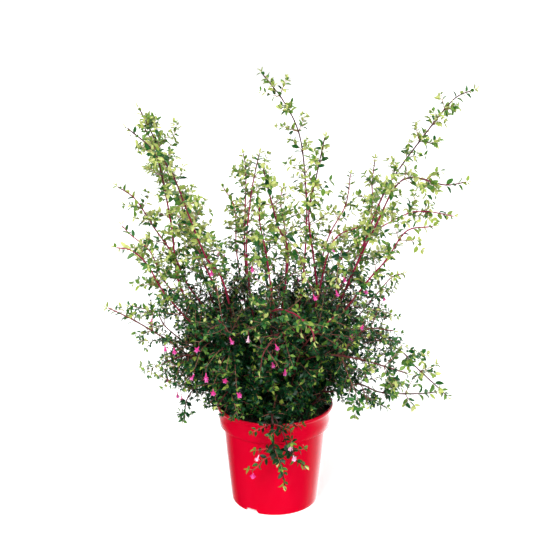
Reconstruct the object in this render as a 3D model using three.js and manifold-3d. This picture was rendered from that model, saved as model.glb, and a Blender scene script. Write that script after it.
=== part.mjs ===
// A potted fuchsia of the small-leaved kind: a plastic nursery pot, the soil in it, leafy stems that
// stand in the soil, and blooms that hang from the stems. The stems divide into thin canes that fan out.
// Millimetres, +Z up, origin on the floor under the middle of the pot.

import * as THREE from 'three';
import { mergeVertices } from 'three/addons/utils/BufferGeometryUtils.js';
import Module from 'manifold-3d';

const wasm = await Module();
wasm.setup();

// Pot
const RIM_RADIUS = 95;
const POT_HEIGHT = 167;
const BAND_TOP_RADIUS = 93.4;
const BAND_FOOT_RADIUS = 91;
const BAND_FOOT_Z = 133.5;
const WALL_TOP_RADIUS = 84.2;
const WALL_TOP_Z = 130;
const WALL_FOOT_RADIUS = 72.2;
const WALL_FOOT_Z = 6;
const WALL = 1.6;
const FLOOR_THICKNESS = 2.2;
const POT_SIDES = 30;

// Drainage pockets, pressed up into the pot's foot
const POCKET_TURNS = [239, 359, 119];
const POCKET_HEIGHT = 6.5;
const POCKET_WIDTH_BELOW = 25;
const POCKET_WIDTH_ABOVE = 16;
const POCKET_INNER_RADIUS = 55;
const DRAIN_RADIUS = 4;
const DRAIN_CENTRE = 62;

// Soil
const SOIL_TOP = 154;
const SOIL_BUMP = 2;
const SOIL_SIDES = 20;
const SOIL_RINGS = [80, 56, 28];
const CLEARANCE = 0.3;
const POT_MARGIN = 1.2;
const ROOT_DEPTH = 26;
const HOLE_SIDES = 5;

// Stems
const COLLAR_RISE = 7;
const TRUNK_RADIUS = 2.3;
const CANE_FOOT_RADIUS = 1.9;
const CANE_TIP_RADIUS = 0.9;

// Nodes and side shoots
const SEED = 7;
const FIRST_NODE = 24;
const LAST_NODE = 30;
const LOW_SPACING = 42;
const TOP_SPACING = 28;
const KEPT_NODES = 3;
const NODE_HEIGHT = 1.8;
const SHOOT_SPREAD = 58;
const SHOOT_WANDER = 0.25;
const BUSH_CENTRE = [0, 0, 262];
const BUSH_RADIUS = 175;
const BUSH_FLATNESS = 1.5;
const BUSH_SHOOT = 70;
const CANE_SHOOT = 46;
const TIP_SHOOT = 26;
const TRAIL_SHOOT = 36;
const TRAIL_RISE = 22;
const SHOOT_RADIUS = 1.1;
const SHOOT_TIP_RADIUS = 0.85;
const ALL_FACES = [0, 1, 2, 3];
const FACE_ORDER = [1, 2, 3, 0];
const SHORTER = [1, 0.8, 0.6];
const SHORTEST_RUN = 9;
const TWIG_ARCH = 0.16;
const TWIG_HOOK = 4;

// Leaves
const LEAF_LENGTH = 16;
const LEAF_WIDTH = 9;
const LEAF_WIDEST = 0.42;
const LEAF_FOLD = 1.4;
const LEAF_THICKNESS = 1.2;
const LEAF_ANGLE = 52;

// Blooms
const PEDICEL_RADIUS = 0.6;
const PEDICEL_LENGTH = 8;
const TUBE_LENGTH = 7;
const TUBE_RADIUS = 1.2;
const MOUTH_RADIUS = 2.1;
const SEPAL_REACH = 6;
const SEPAL_DROP = 3;
const SKIRT_DROP = 4;
const SEPALS = 4;

// Every stem: where it stands in the soil, where it divides, and the points of its canes (x, y, z)
const STEMS = {
  left_tall: {
    foot: [-34, 2],
    fork: [-62, 5, 255],
    canes: [
      [[-95, 10, 355], [-120, 25, 410], [-145, 50, 490], [-170, 60, 540], [-195, 65, 595],
        [-215, 70, 635]],
      [[-135, 0, 360], [-155, -10, 410], [-185, -20, 460], [-210, -30, 505], [-235, -35, 525]],
    ],
  },
  left_front: {
    foot: [-50, -14],
    fork: [-74, -22, 215],
    canes: [
      [[-145, -20, 360], [-155, -40, 460], [-165, -55, 540], [-175, -62, 580], [-210, -75, 615]],
      [[-95, -30, 225], [-135, -40, 195], [-145, -45, 155]],
    ],
  },
  left_rear: {
    foot: [-42, 24],
    fork: [-80, 45, 260],
    canes: [
      [[-115, 60, 355], [-140, 95, 425], [-165, 125, 490], [-200, 150, 560], [-220, 160, 595]],
      [[-175, 70, 340], [-210, 100, 395], [-245, 120, 420], [-260, 125, 435]],
    ],
  },
  front_left: {
    foot: [-30, -26],
    fork: [-50, -42, 225],
    canes: [
      [[-75, -60, 375], [-100, -80, 425], [-115, -110, 475], [-140, -140, 560]],
      [[-155, -80, 360], [-185, -100, 420], [-205, -115, 445], [-225, -120, 450]],
      [[-60, -85, 290], [-75, -125, 335], [-80, -145, 350]],
      [[-58, -80, 235], [-85, -135, 215]],
    ],
  },
  left_arch: {
    foot: [-50, -34],
    fork: [-88, -50, 225],
    canes: [
      [[-155, -60, 285], [-180, -80, 310], [-210, -95, 335], [-245, -100, 355]],
      [[-120, -75, 270], [-145, -90, 275], [-170, -95, 265]],
    ],
  },
  left_low: {
    foot: [-57, 13],
    fork: [-76, 22, 205],
    canes: [
      [[-175, 55, 270], [-200, 75, 295], [-245, 85, 305]],
      [[-100, 22, 215], [-140, 20, 210], [-175, 20, 195]],
    ],
  },
  rear_left: {
    foot: [-24, 38],
    fork: [-42, 62, 270],
    canes: [
      [[-50, 80, 400], [-50, 110, 455], [-50, 170, 520], [-55, 190, 550]],
      [[-65, 130, 380], [-70, 170, 455], [-90, 190, 490]],
    ],
  },
  middle_left: {
    foot: [-16, 10],
    fork: [-30, 20, 260],
    canes: [
      [[-45, 30, 400], [-40, 60, 485], [-30, 90, 540], [-25, 100, 560]],
    ],
  },
  front_middle: {
    foot: [2, -24],
    fork: [4, -42, 285],
    canes: [
      [[20, -60, 425], [5, -90, 475], [-10, -125, 540], [-15, -140, 565]],
      [[-10, -110, 425], [-20, -150, 490], [-20, -165, 520]],
    ],
  },
  rear_middle: {
    foot: [4, 42],
    fork: [10, 65, 250],
    canes: [
      [[20, 140, 390], [10, 180, 465], [15, 200, 490]],
      [[-12, 130, 320], [-20, 165, 370], [-25, 185, 385]],
    ],
  },
  centre_tall: {
    foot: [15, 8],
    fork: [32, 14, 250],
    canes: [
      [[45, 20, 365], [50, 30, 440], [50, 35, 500], [40, 40, 590], [15, 40, 645], [-20, 35, 690]],
    ],
  },
  centre_front: {
    foot: [20, -12],
    fork: [42, -24, 270],
    canes: [
      [[65, -30, 345], [60, -50, 410], [50, -75, 490], [60, -95, 550], [70, -110, 605]],
      [[60, -50, 330], [85, -70, 445], [125, -85, 475]],
    ],
  },
  rear_right: {
    foot: [26, 34],
    fork: [45, 60, 240],
    canes: [
      [[75, 95, 365], [95, 150, 415], [125, 190, 460], [135, 220, 510]],
      [[85, 125, 300], [115, 160, 325], [130, 175, 325]],
    ],
  },
  right_tall: {
    foot: [36, 3],
    fork: [72, 6, 270],
    canes: [
      [[125, 10, 380], [160, 20, 480], [185, 25, 530], [235, 30, 600], [275, 32, 650],
        [305, 32, 665]],
    ],
  },
  right_front: {
    foot: [42, -17],
    fork: [80, -28, 290],
    canes: [
      [[120, -40, 395], [150, -60, 470], [175, -75, 530], [200, -80, 545], [245, -85, 535],
        [275, -90, 540]],
      [[140, -60, 385], [165, -85, 425], [190, -100, 470], [225, -115, 480]],
    ],
  },
  right_rear: {
    foot: [38, 20],
    fork: [70, 36, 270],
    canes: [
      [[115, 70, 355], [155, 110, 420], [165, 130, 475], [165, 140, 505], [170, 150, 545]],
      [[95, 85, 360], [145, 115, 410], [220, 140, 450], [260, 150, 455], [310, 160, 445]],
    ],
  },
  right_middle: {
    foot: [52, 26],
    fork: [88, 42, 235],
    canes: [
      [[175, 60, 340], [195, 80, 355], [215, 90, 360]],
      [[130, 55, 275], [160, 70, 290], [195, 85, 285]],
    ],
  },
  right_low: {
    foot: [58, 8],
    fork: [80, 12, 205],
    canes: [
      [[115, 20, 260], [165, 20, 265], [205, 10, 250], [230, 0, 225], [280, -10, 180]],
      [[110, 35, 195], [155, 45, 155], [190, 50, 135]],
    ],
  },
  right_arch: {
    foot: [54, -30],
    fork: [76, -42, 200],
    canes: [
      [[120, -50, 285], [145, -60, 310], [180, -70, 310]],
      [[95, -50, 205], [130, -60, 220], [165, -70, 210], [220, -75, 210], [250, -80, 215]],
    ],
  },
  front_arch: {
    foot: [20, -38],
    fork: [26, -54, 215],
    canes: [
      [[36, -70, 255], [70, -110, 285], [120, -140, 290], [190, -160, 275]],
      [[40, -100, 290], [70, -130, 335], [85, -145, 355]],
    ],
  },
  front_high: {
    foot: [0, -46],
    fork: [2, -78, 265],
    canes: [
      [[-5, -115, 350], [25, -160, 365], [50, -185, 350], [55, -195, 335]],
      [[15, -115, 315], [5, -150, 330], [-15, -170, 310], [-20, -175, 285]],
    ],
  },
  front_trail: {
    foot: [-6, -62],
    fork: [-5, -86, 184],
    canes: [
      [[-3, -106, 175], [0, -112, 130], [10, -114, 110], [15, -114, 75]],
      [[10, -106, 165], [26, -114, 125], [45, -118, 110]],
    ],
  },
  rear_low_left: {
    foot: [-42, 46],
    fork: [-62, 72, 210],
    canes: [
      [[-85, 100, 245], [-120, 135, 250], [-150, 150, 235]],
      [[-50, 110, 215], [-55, 150, 200], [-60, 170, 180]],
    ],
  },
  rear_low_right: {
    foot: [36, 52],
    fork: [50, 80, 205],
    canes: [
      [[75, 110, 230], [110, 145, 215], [130, 165, 195]],
      [[30, 125, 240], [20, 170, 250], [15, 190, 240]],
    ],
  },
};

// Every bunch of blooms: the stem that carries it, and the middle of each bloom (x, y, z)
const BLOOMS = [
  ['front_high', [1, -165, 316]],
  ['front_high', [-4, -150, 285]],
  ['front_high', [-37, -155, 325]],
  ['front_high', [15, -160, 277]],
  ['front_left', [-64, -150, 320]],
  ['front_left', [-55, -145, 234]],
  ['front_left', [-70, -150, 260]],
  ['front_left', [-90, -140, 238]],
  ['front_left', [-100, -135, 257], [-99, -148, 266]],
  ['front_left', [-119, -120, 254]],
  ['front_left', [-110, -130, 300]],
  ['left_arch', [-150, -100, 288], [-165, -90, 289]],
  ['left_front', [-171, -30, 217]],
  ['left_front', [-156, -30, 190], [-148, -38, 186]],
  ['left_tall', [-192, -30, 312]],
  ['front_left', [-92, -98, 408]],
  ['front_middle', [-33, -100, 414]],
  ['front_middle', [55, -130, 379]],
  ['centre_front', [89, -110, 380]],
  ['centre_front', [101, -90, 396]],
  ['right_front', [133, -80, 375]],
  ['right_front', [95, -35, 428]],
  ['right_front', [166, -45, 355]],
  ['front_arch', [113, -125, 317]],
  ['front_arch', [130, -110, 329]],
  ['front_trail', [23, -124, 141], [28, -130, 128]],
  ['front_trail', [-34, -112, 88]],
  ['front_trail', [-24, -112, 120]],
  ['rear_left', [-60, 150, 300], [-50, 156, 290]],
  ['rear_middle', [40, 165, 330], [50, 158, 322]],
  ['left_rear', [-120, 110, 290], [-128, 102, 282]],
  ['rear_right', [115, 120, 270], [122, 128, 262]],
  ['rear_low_right', [0, 178, 222], [10, 170, 214]],
  ['left_rear', [-95, 110, 390], [-86, 116, 382]],
];

const LOOKS = {
  pot: { color: 0xe0082c, roughness: 0.32 },
  soil: { color: 0x33231a, roughness: 0.95 },
  stem: { color: 0x3f6a2b, roughness: 0.6 },
  bloom: { color: 0xd83d93, roughness: 0.55 },
};

function seededRandom(seed) {
  let state = seed >>> 0;
  return () => {
    state = (state + 0x6d2b79f5) >>> 0;
    let mixed = Math.imul(state ^ (state >>> 15), state | 1);
    mixed ^= mixed + Math.imul(mixed ^ (mixed >>> 7), mixed | 61);
    return ((mixed ^ (mixed >>> 14)) >>> 0) / 4294967296;
  };
}

function vector(point) {
  return new THREE.Vector3(...point);
}

function mix(a, b, share) {
  return a + (b - a) * share;
}

function radians(degrees) {
  return degrees * Math.PI / 180;
}

// Solids: joined and cut with manifold-3d
function solid(geometry) {
  const bare = geometry.clone();
  bare.deleteAttribute('normal');
  bare.deleteAttribute('uv');
  const merged = mergeVertices(bare, 1e-4);
  return new wasm.Manifold(new wasm.Mesh({
    numProp: 3,
    vertProperties: Float32Array.from(merged.attributes.position.array),
    triVerts: Uint32Array.from(merged.index.array),
  }));
}

function geometryOf(body) {
  const mesh = body.getMesh();
  const geometry = new THREE.BufferGeometry();
  geometry.setAttribute('position', new THREE.BufferAttribute(mesh.vertProperties, 3));
  geometry.setIndex(new THREE.BufferAttribute(mesh.triVerts, 1));
  geometry.computeVertexNormals();
  return geometry;
}

function closedGeometry(points, triangles) {
  const geometry = new THREE.BufferGeometry();
  const values = points.flatMap((point) => point.toArray());
  geometry.setAttribute('position', new THREE.Float32BufferAttribute(values, 3));
  geometry.setIndex(triangles.flat());
  return geometry;
}

function joined(geometries) {
  return geometries.map(solid).reduce((whole, next) => whole.add(next));
}

function moved(point, direction, distance) {
  return point.clone().addScaledVector(direction, distance);
}

function frameOf(along, sideways) {
  return { along, sideways, upward: along.clone().cross(sideways) };
}

function squareTo(along, direction) {
  return moved(direction, along, -direction.dot(along)).normalize();
}

function levelAcross(along) {
  const level = new THREE.Vector3(-along.y, along.x, 0);
  return level.length() < 1e-3 ? new THREE.Vector3(1, 0, 0) : level.normalize();
}

// Frames along a path: the first one's sideways direction is level, and the rest follow without twist
function framesAlong(points) {
  let sideways = null;
  return points.map((_, i) => {
    const before = points[Math.max(i - 1, 0)];
    const after = points[Math.min(i + 1, points.length - 1)];
    const along = after.clone().sub(before).normalize();
    sideways = squareTo(along, sideways ?? levelAcross(along));
    return frameOf(along, sideways);
  });
}

// A stem's surface grows from ring to ring, four corners each, and shoots and leaves grow from its faces.
// Face 0 looks upward, 1 against sideways, 2 downward and 3 sideways.
function addRing(surface, centre, frame, across, up = across, firstTurn = Math.PI / 4) {
  return [0, 1, 2, 3].map((k) => {
    const turn = firstTurn + k * Math.PI / 2;
    const corner = moved(centre, frame.sideways, across * Math.cos(turn));
    return surface.corners.push(moved(corner, frame.upward, up * Math.sin(turn))) - 1;
  });
}

function faceRing(lower, upper, k) {
  const next = (k + 1) % 4;
  return [upper[next], upper[k], lower[k], lower[next]];
}

function closeRing(surface, [a, b, c, d]) {
  surface.triangles.push([a, b, c], [a, c, d]);
}

function bridge(surface, lower, upper, openFaces = []) {
  for (const k of ALL_FACES.filter((face) => !openFaces.includes(face))) {
    closeRing(surface, faceRing(lower, upper, k));
  }
}

function middleOf(surface, ring) {
  const sum = new THREE.Vector3();
  ring.forEach((index) => sum.add(surface.corners[index]));
  return sum.divideScalar(4);
}

// The way out of a face: square to it, with sideways along its lower edge
function frameOfFace(surface, [c, d, a, b]) {
  const corner = (index) => surface.corners[index];
  const sideways = corner(b).clone().sub(corner(a)).normalize();
  const rise = corner(d).clone().sub(corner(a)).add(corner(c)).sub(corner(b)).normalize();
  return frameOf(sideways.clone().cross(rise).normalize(), sideways);
}

// A node: two rings close together, with some of the faces between them left open for what grows there
function addNode(surface, ring, centre, frame, radius, openFaces) {
  const lower = addRing(surface, moved(centre, frame.along, -NODE_HEIGHT / 2), frame, radius);
  const upper = addRing(surface, moved(centre, frame.along, NODE_HEIGHT / 2), frame, radius);
  bridge(surface, ring, lower);
  bridge(surface, lower, upper, openFaces);
  return { upper, faces: openFaces.map((k) => faceRing(lower, upper, k)) };
}

// The leaf that a cane or shoot ends in: the tube widens to the blade's middle and ends in its point
function growTipLeaf(surface, ring, frame) {
  const start = middleOf(surface, ring);
  const widest = moved(start, frame.along, LEAF_LENGTH * LEAF_WIDEST);
  const blade = addRing(surface, widest, frame, LEAF_WIDTH / 2, LEAF_THICKNESS / 2, 0);
  const tip = surface.corners.push(moved(start, frame.along, LEAF_LENGTH)) - 1;
  bridge(surface, ring, blade);
  [0, 1, 2, 3].forEach((k) => surface.triangles.push([blade[k], blade[(k + 1) % 4], tip]));
}

// A leaf from a face: its midrib is a ridge, and its two side corners lie lower
function growLeaf(surface, [c, d, a, b], frame) {
  const root = middleOf(surface, [a, b, c, d]);
  const middle = moved(moved(root, frame.along, LEAF_LENGTH * LEAF_WIDEST), frame.upward, -LEAF_FOLD);
  const right = surface.corners.push(moved(middle, frame.sideways, LEAF_WIDTH / 2)) - 1;
  const left = surface.corners.push(moved(middle, frame.sideways, -LEAF_WIDTH / 2)) - 1;
  const tip = surface.corners.push(moved(root, frame.along, LEAF_LENGTH)) - 1;
  surface.triangles.push([d, left, tip], [d, tip, c], [c, tip, right], [a, left, d]);
  surface.triangles.push([a, tip, left], [a, b, tip], [b, right, tip], [b, c, right]);
}

// Room between pieces
const placed = [];

function segmentGap(a, b) {
  const u = a.to.clone().sub(a.from);
  const v = b.to.clone().sub(b.from);
  const w = a.from.clone().sub(b.from);
  const uu = u.dot(u);
  const uv = u.dot(v);
  const vv = v.dot(v);
  const uw = u.dot(w);
  const vw = v.dot(w);
  const clamp = (value) => Math.min(Math.max(value, 0), 1);
  let s = clamp((uv * vw - vv * uw) / Math.max(uu * vv - uv * uv, 1e-9));
  const t = clamp((uv * s + vw) / Math.max(vv, 1e-9));
  s = clamp((uv * t - uw) / Math.max(uu, 1e-9));
  return w.addScaledVector(u, s).addScaledVector(v, -t).length();
}

function potRadiusAt(z) {
  const outline = potOutline();
  const next = Math.max(outline.findIndex(([, height]) => height >= z), 1);
  const [[lowRadius, low], [highRadius, high]] = [outline[next - 1], outline[next]];
  return mix(lowRadius, highRadius, (z - low) / (high - low));
}

function clearOfPot(capsule) {
  const margin = capsule.radius + POT_MARGIN;
  return [0, 0.25, 0.5, 0.75, 1].every((share) => {
    const point = capsule.from.clone().lerp(capsule.to, share);
    const reach = Math.hypot(point.x, point.y);
    const overRim = point.z > POT_HEIGHT + margin;
    const insideRim = reach < BAND_FOOT_RADIUS - margin && point.z > SOIL_TOP + SOIL_BUMP + margin;
    return overRim || insideRim || reach > potRadiusAt(Math.min(point.z + margin, POT_HEIGHT - 1)) + margin;
  });
}

// A thin piece is kept as capsules, each from one point to another with a radius, in a ball round them all
function bodyOf(part, capsules) {
  const box = new THREE.Box3().setFromPoints(capsules.flatMap(({ from, to }) => [from, to]));
  const centre = box.getCenter(new THREE.Vector3());
  const widest = Math.max(...capsules.map(({ radius }) => radius));
  const reach = box.getSize(new THREE.Vector3()).length() / 2 + widest;
  return { part, capsules, centre, reach };
}

function capsulesApart(a, b) {
  return segmentGap(a, b) > a.radius + b.radius + CLEARANCE;
}

function apart(one, other) {
  return one.centre.distanceTo(other.centre) > one.reach + other.reach + CLEARANCE
    || one.capsules.every((a) => other.capsules.every((b) => capsulesApart(a, b)));
}

// A piece wants room to every other one, apart from the one it grows from and those at the same node
function hasRoom(body, relatives) {
  return body.capsules.every(clearOfPot)
    && placed.every((other) => relatives.includes(other.part) || apart(body, other));
}

function tubeCapsules(points, radius) {
  return points.slice(1).map((to, i) => ({ from: points[i], to, radius }));
}

function leafCapsules(root, frame) {
  const at = (share) => moved(root, frame.along, LEAF_LENGTH * share);
  const capsules = [{ from: at(0.12), to: at(1), radius: LEAF_THICKNESS * 0.7 }];
  for (const side of [-0.36, 0.36]) {
    const middle = moved(moved(at(LEAF_WIDEST), frame.sideways, LEAF_WIDTH * side), frame.upward, -LEAF_FOLD);
    capsules.push({ from: at(0.12), to: middle, radius: LEAF_WIDTH * 0.14 });
    capsules.push({ from: middle, to: at(0.95), radius: LEAF_WIDTH * 0.14 });
  }
  return capsules;
}

// Pot
function potOutline() {
  return [
    [WALL_FOOT_RADIUS - 2.2, 0],
    [WALL_FOOT_RADIUS - 0.6, 1.2],
    [WALL_FOOT_RADIUS, WALL_FOOT_Z],
    [WALL_TOP_RADIUS, WALL_TOP_Z],
    [WALL_TOP_RADIUS + 1.3, BAND_FOOT_Z - 2],
    [BAND_FOOT_RADIUS, BAND_FOOT_Z],
    [BAND_TOP_RADIUS, POT_HEIGHT - 6],
    [RIM_RADIUS, POT_HEIGHT - 4],
    [RIM_RADIUS, POT_HEIGHT - 1],
    [RIM_RADIUS - 1, POT_HEIGHT],
  ];
}

function potLining() {
  return [
    [RIM_RADIUS - 3.2, POT_HEIGHT],
    [BAND_TOP_RADIUS - WALL, POT_HEIGHT - 6],
    [BAND_FOOT_RADIUS - WALL, BAND_FOOT_Z + 1.6],
    [WALL_TOP_RADIUS - WALL + 1.2, BAND_FOOT_Z - 0.6],
    [WALL_TOP_RADIUS - WALL, WALL_TOP_Z],
    [WALL_FOOT_RADIUS - WALL, WALL_FOOT_Z],
    [WALL_FOOT_RADIUS - WALL - 1.2, FLOOR_THICKNESS],
  ];
}

function turned(profile, sides) {
  const geometry = new THREE.LatheGeometry(profile.map(([r, z]) => new THREE.Vector2(r, z)), sides);
  return geometry.rotateX(Math.PI / 2);
}

// A wedge across the pot's foot, from an inner to an outer radius; grown by a wall it makes the pocket
function pocketWedge(turn, grown, innerRadius, outerRadius) {
  const below = grown > 0 ? FLOOR_THICKNESS / 2 : -1;
  const shape = new THREE.Shape([
    new THREE.Vector2(-POCKET_WIDTH_BELOW / 2 - grown, below),
    new THREE.Vector2(POCKET_WIDTH_BELOW / 2 + grown, below),
    new THREE.Vector2(POCKET_WIDTH_ABOVE / 2 + grown, POCKET_HEIGHT + grown),
    new THREE.Vector2(-POCKET_WIDTH_ABOVE / 2 - grown, POCKET_HEIGHT + grown),
  ]);
  const depth = outerRadius - innerRadius;
  const geometry = new THREE.ExtrudeGeometry(shape, { depth, bevelEnabled: false });
  geometry.rotateX(Math.PI / 2);
  geometry.rotateZ(Math.PI);
  geometry.translate(0, innerRadius, 0);
  return geometry.rotateZ(radians(turn - 90));
}

function drainHole(turn) {
  const geometry = new THREE.CylinderGeometry(DRAIN_RADIUS, DRAIN_RADIUS, 3 * POCKET_HEIGHT, 8);
  geometry.rotateX(Math.PI / 2);
  geometry.translate(DRAIN_CENTRE, 0, 0);
  return geometry.rotateZ(radians(turn));
}

function buildPot() {
  let pot = solid(turned([[0, 0], ...potOutline(), ...potLining(), [0, FLOOR_THICKNESS]], POT_SIDES));
  for (const turn of POCKET_TURNS) {
    const wallInside = WALL_FOOT_RADIUS - WALL - 0.7;
    pot = pot.add(solid(pocketWedge(turn, WALL, POCKET_INNER_RADIUS - WALL, wallInside)));
    pot = pot.subtract(solid(pocketWedge(turn, 0, POCKET_INNER_RADIUS, RIM_RADIUS)));
    pot = pot.subtract(solid(drainHole(turn)));
  }
  return pot;
}

// Soil
function soilProfile() {
  return [
    [0, FLOOR_THICKNESS + CLEARANCE],
    [WALL_FOOT_RADIUS - WALL - 2, FLOOR_THICKNESS + CLEARANCE],
    [WALL_FOOT_RADIUS - WALL - 2 * CLEARANCE, WALL_FOOT_Z + 1],
    [WALL_TOP_RADIUS - WALL - 2 * CLEARANCE, WALL_TOP_Z],
    [WALL_TOP_RADIUS - WALL + 0.5, BAND_FOOT_Z + 0.2],
    [BAND_FOOT_RADIUS - WALL - 2.5 * CLEARANCE, BAND_FOOT_Z + 2.6],
    [BAND_FOOT_RADIUS - WALL + 0.6, SOIL_TOP - 2],
    ...SOIL_RINGS.map((radius) => [radius, SOIL_TOP]),
    [0, SOIL_TOP],
  ];
}

function roughen(geometry) {
  const position = geometry.attributes.position;
  for (let i = 0; i < position.count; i += 1) {
    const [x, y, z] = [position.getX(i), position.getY(i), position.getZ(i)];
    const bump = Math.sin(x * 0.11 + 1.3) * Math.cos(y * 0.13 + 0.4) + 0.5 * Math.sin((x + y) * 0.21);
    position.setZ(i, z > SOIL_TOP - 1 ? z + SOIL_BUMP * bump / 1.5 : z);
  }
  return geometry;
}

function buildSoil() {
  let soil = solid(roughen(turned(soilProfile(), SOIL_SIDES)));
  for (const turn of POCKET_TURNS) {
    const inner = POCKET_INNER_RADIUS - WALL - 2 * CLEARANCE;
    soil = soil.subtract(solid(pocketWedge(turn, WALL + 2 * CLEARANCE, inner, RIM_RADIUS)));
  }
  for (const stem of Object.values(STEMS)) {
    const radius = (TRUNK_RADIUS + CLEARANCE) / Math.cos(Math.PI / HOLE_SIDES);
    const height = ROOT_DEPTH + CLEARANCE + COLLAR_RISE;
    const hole = new THREE.CylinderGeometry(radius, radius, height, HOLE_SIDES).rotateX(Math.PI / 2);
    hole.translate(stem.foot[0], stem.foot[1], SOIL_TOP + COLLAR_RISE - height / 2);
    soil = soil.subtract(solid(hole));
  }
  return soil;
}

// The bush is wider than it is high
function inBush(point) {
  const offset = point.clone().sub(vector(BUSH_CENTRE));
  offset.z *= BUSH_FLATNESS;
  return offset.length() < BUSH_RADIUS;
}

function overhanging(point) {
  return point.z < POT_HEIGHT + TRAIL_RISE && Math.hypot(point.x, point.y) > RIM_RADIUS;
}

function usualShoot(point, share) {
  if (overhanging(point)) {
    return TRAIL_SHOOT;
  }
  return inBush(point) ? BUSH_SHOOT : mix(CANE_SHOOT, TIP_SHOOT, share);
}

// Canes: smooth curves with nodes along them, and an opposite pair of shoots at each node
function nodesOf(curve, seed) {
  const random = seededRandom(seed);
  const length = curve.getLength();
  const nodes = [];
  let distance = FIRST_NODE;
  while (distance < length - LAST_NODE) {
    const share = distance / length;
    const point = curve.getPointAt(share);
    const pair = [0, 1].map(() => ({
      length: usualShoot(point, share) * mix(0.7, 1.2, random()),
      wander: mix(-SHOOT_WANDER, SHOOT_WANDER, random()),
      lift: mix(-0.1, 0.4, random()),
    }));
    nodes.push({ point, share, pair });
    distance += mix(LOW_SPACING, TOP_SPACING, share);
  }
  return nodes;
}

// The solid keeps every third node of a cane, with the nodes' middles as the joints of its path
function planCane(stemPlan, points, isMain, part, seed) {
  const root = vector([...stemPlan.foot, SOIL_TOP - ROOT_DEPTH]);
  const collar = vector([...stemPlan.foot, SOIL_TOP + COLLAR_RISE]);
  const fork = vector(stemPlan.fork);
  const lead = isMain ? [root, collar, fork] : [fork];
  const curve = new THREE.CatmullRomCurve3([fork, ...points.map(vector)], false, 'catmullrom', 0.5);
  const nodes = nodesOf(curve, seed).filter((_, i) => i % KEPT_NODES === 0);
  const joints = [...lead, ...nodes.map((node) => node.point), curve.getPoint(1)];
  const footRadius = isMain ? TRUNK_RADIUS : CANE_FOOT_RADIUS;
  return { part, nodes, joints, footRadius, frames: framesAlong(joints), lead: lead.length };
}

function caneRadius(cane, share) {
  return mix(cane.footRadius, CANE_TIP_RADIUS, share);
}

function leaningFrame(face, along, spread, wander, lift) {
  const direction = along.clone().multiplyScalar(Math.cos(radians(spread)));
  direction.addScaledVector(face.along, Math.sin(radians(spread)) * Math.cos(wander));
  direction.addScaledVector(face.sideways, Math.sin(radians(spread)) * Math.sin(wander));
  direction.z += lift;
  direction.normalize();
  return frameOf(direction, squareTo(direction, face.sideways));
}

// Where a leaf has no room its face is closed instead
function addLeaf(surface, face, along, part, parent) {
  const root = middleOf(surface, face);
  const frame = leaningFrame(frameOfFace(surface, face), along, LEAF_ANGLE, 0, 0);
  const body = bodyOf(part, leafCapsules(root, frame));
  if (hasRoom(body, [part, parent])) {
    placed.push(body);
    growLeaf(surface, face, frame);
  } else {
    closeRing(surface, face);
  }
}

// A shoot with no room is tried shorter, and then gives way to a leaf
function addShoot(surface, face, along, shoot, part, parent) {
  const root = middleOf(surface, face);
  const frame = leaningFrame(frameOfFace(surface, face), along, SHOOT_SPREAD, shoot.wander, shoot.lift);
  for (const share of SHORTER) {
    const run = shoot.length * share - LEAF_LENGTH;
    const end = moved(root, frame.along, run);
    const stalk = tubeCapsules([moved(root, frame.along, 2), end], SHOOT_RADIUS);
    const body = bodyOf(part, [...stalk, ...leafCapsules(end, frame)]);
    if (run > SHORTEST_RUN && hasRoom(body, [parent])) {
      placed.push(body);
      growShoot(surface, face, frame, run, part);
      return;
    }
  }
  addLeaf(surface, face, along, `${parent} leaf`, parent);
}

// A shoot ends in a tuft of five leaves
function growShoot(surface, face, frame, run, part) {
  const end = moved(middleOf(surface, face), frame.along, run);
  const node = addNode(surface, face, end, frame, SHOOT_TIP_RADIUS, ALL_FACES);
  node.faces.forEach((side) => addLeaf(surface, side, frame.along, `${part} leaves`, part));
  growTipLeaf(surface, node.upper, frame);
}

// A node of a cane bears a shoot, on one side and another by turns, and leaves all round; the lowest
// node has lost its leaves
function growCane(surface, cane) {
  const { joints, frames, part } = cane;
  let ring = addRing(surface, joints[0], frames[0], caneRadius(cane, 0));
  closeRing(surface, [...ring].reverse());
  for (let i = 1; i < cane.lead; i += 1) {
    const next = addRing(surface, joints[i], frames[i], caneRadius(cane, 0));
    bridge(surface, ring, next);
    ring = next;
  }
  cane.nodes.forEach((node, i) => {
    const frame = frames[i + cane.lead];
    const shootFace = FACE_ORDER[i % 4];
    const openFaces = i > 0 ? ALL_FACES : [shootFace];
    const grown = addNode(surface, ring, node.point, frame, caneRadius(cane, node.share), openFaces);
    grown.faces.forEach((face, k) => {
      if (openFaces[k] === shootFace) {
        addShoot(surface, face, frame.along, node.pair[0], `${part} shoot ${i}`, part);
      } else {
        addLeaf(surface, face, frame.along, `${part} leaves at ${i}`, part);
      }
    });
    ring = grown.upper;
  });
  const tip = addNode(surface, ring, joints.at(-1), frames.at(-1), CANE_TIP_RADIUS, ALL_FACES);
  tip.faces.forEach((side) => addLeaf(surface, side, frames.at(-1).along, `${part} leaves at tip`, part));
  growTipLeaf(surface, tip.upper, frames.at(-1));
}

// Blooms: a slender tube with four open sepals round a short skirt, hung by a pedicel from a twig
function tubeTops(heads) {
  const halfLength = (TUBE_LENGTH + SKIRT_DROP) / 2;
  return heads.map((head) => vector(head).add(new THREE.Vector3(0, 0, halfLength)));
}

function hookOf(heads) {
  const tops = tubeTops(heads);
  const hook = tops.reduce((sum, top) => sum.add(top), new THREE.Vector3()).divideScalar(tops.length);
  hook.z = Math.max(...tops.map((top) => top.z)) + PEDICEL_LENGTH;
  return hook;
}

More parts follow.
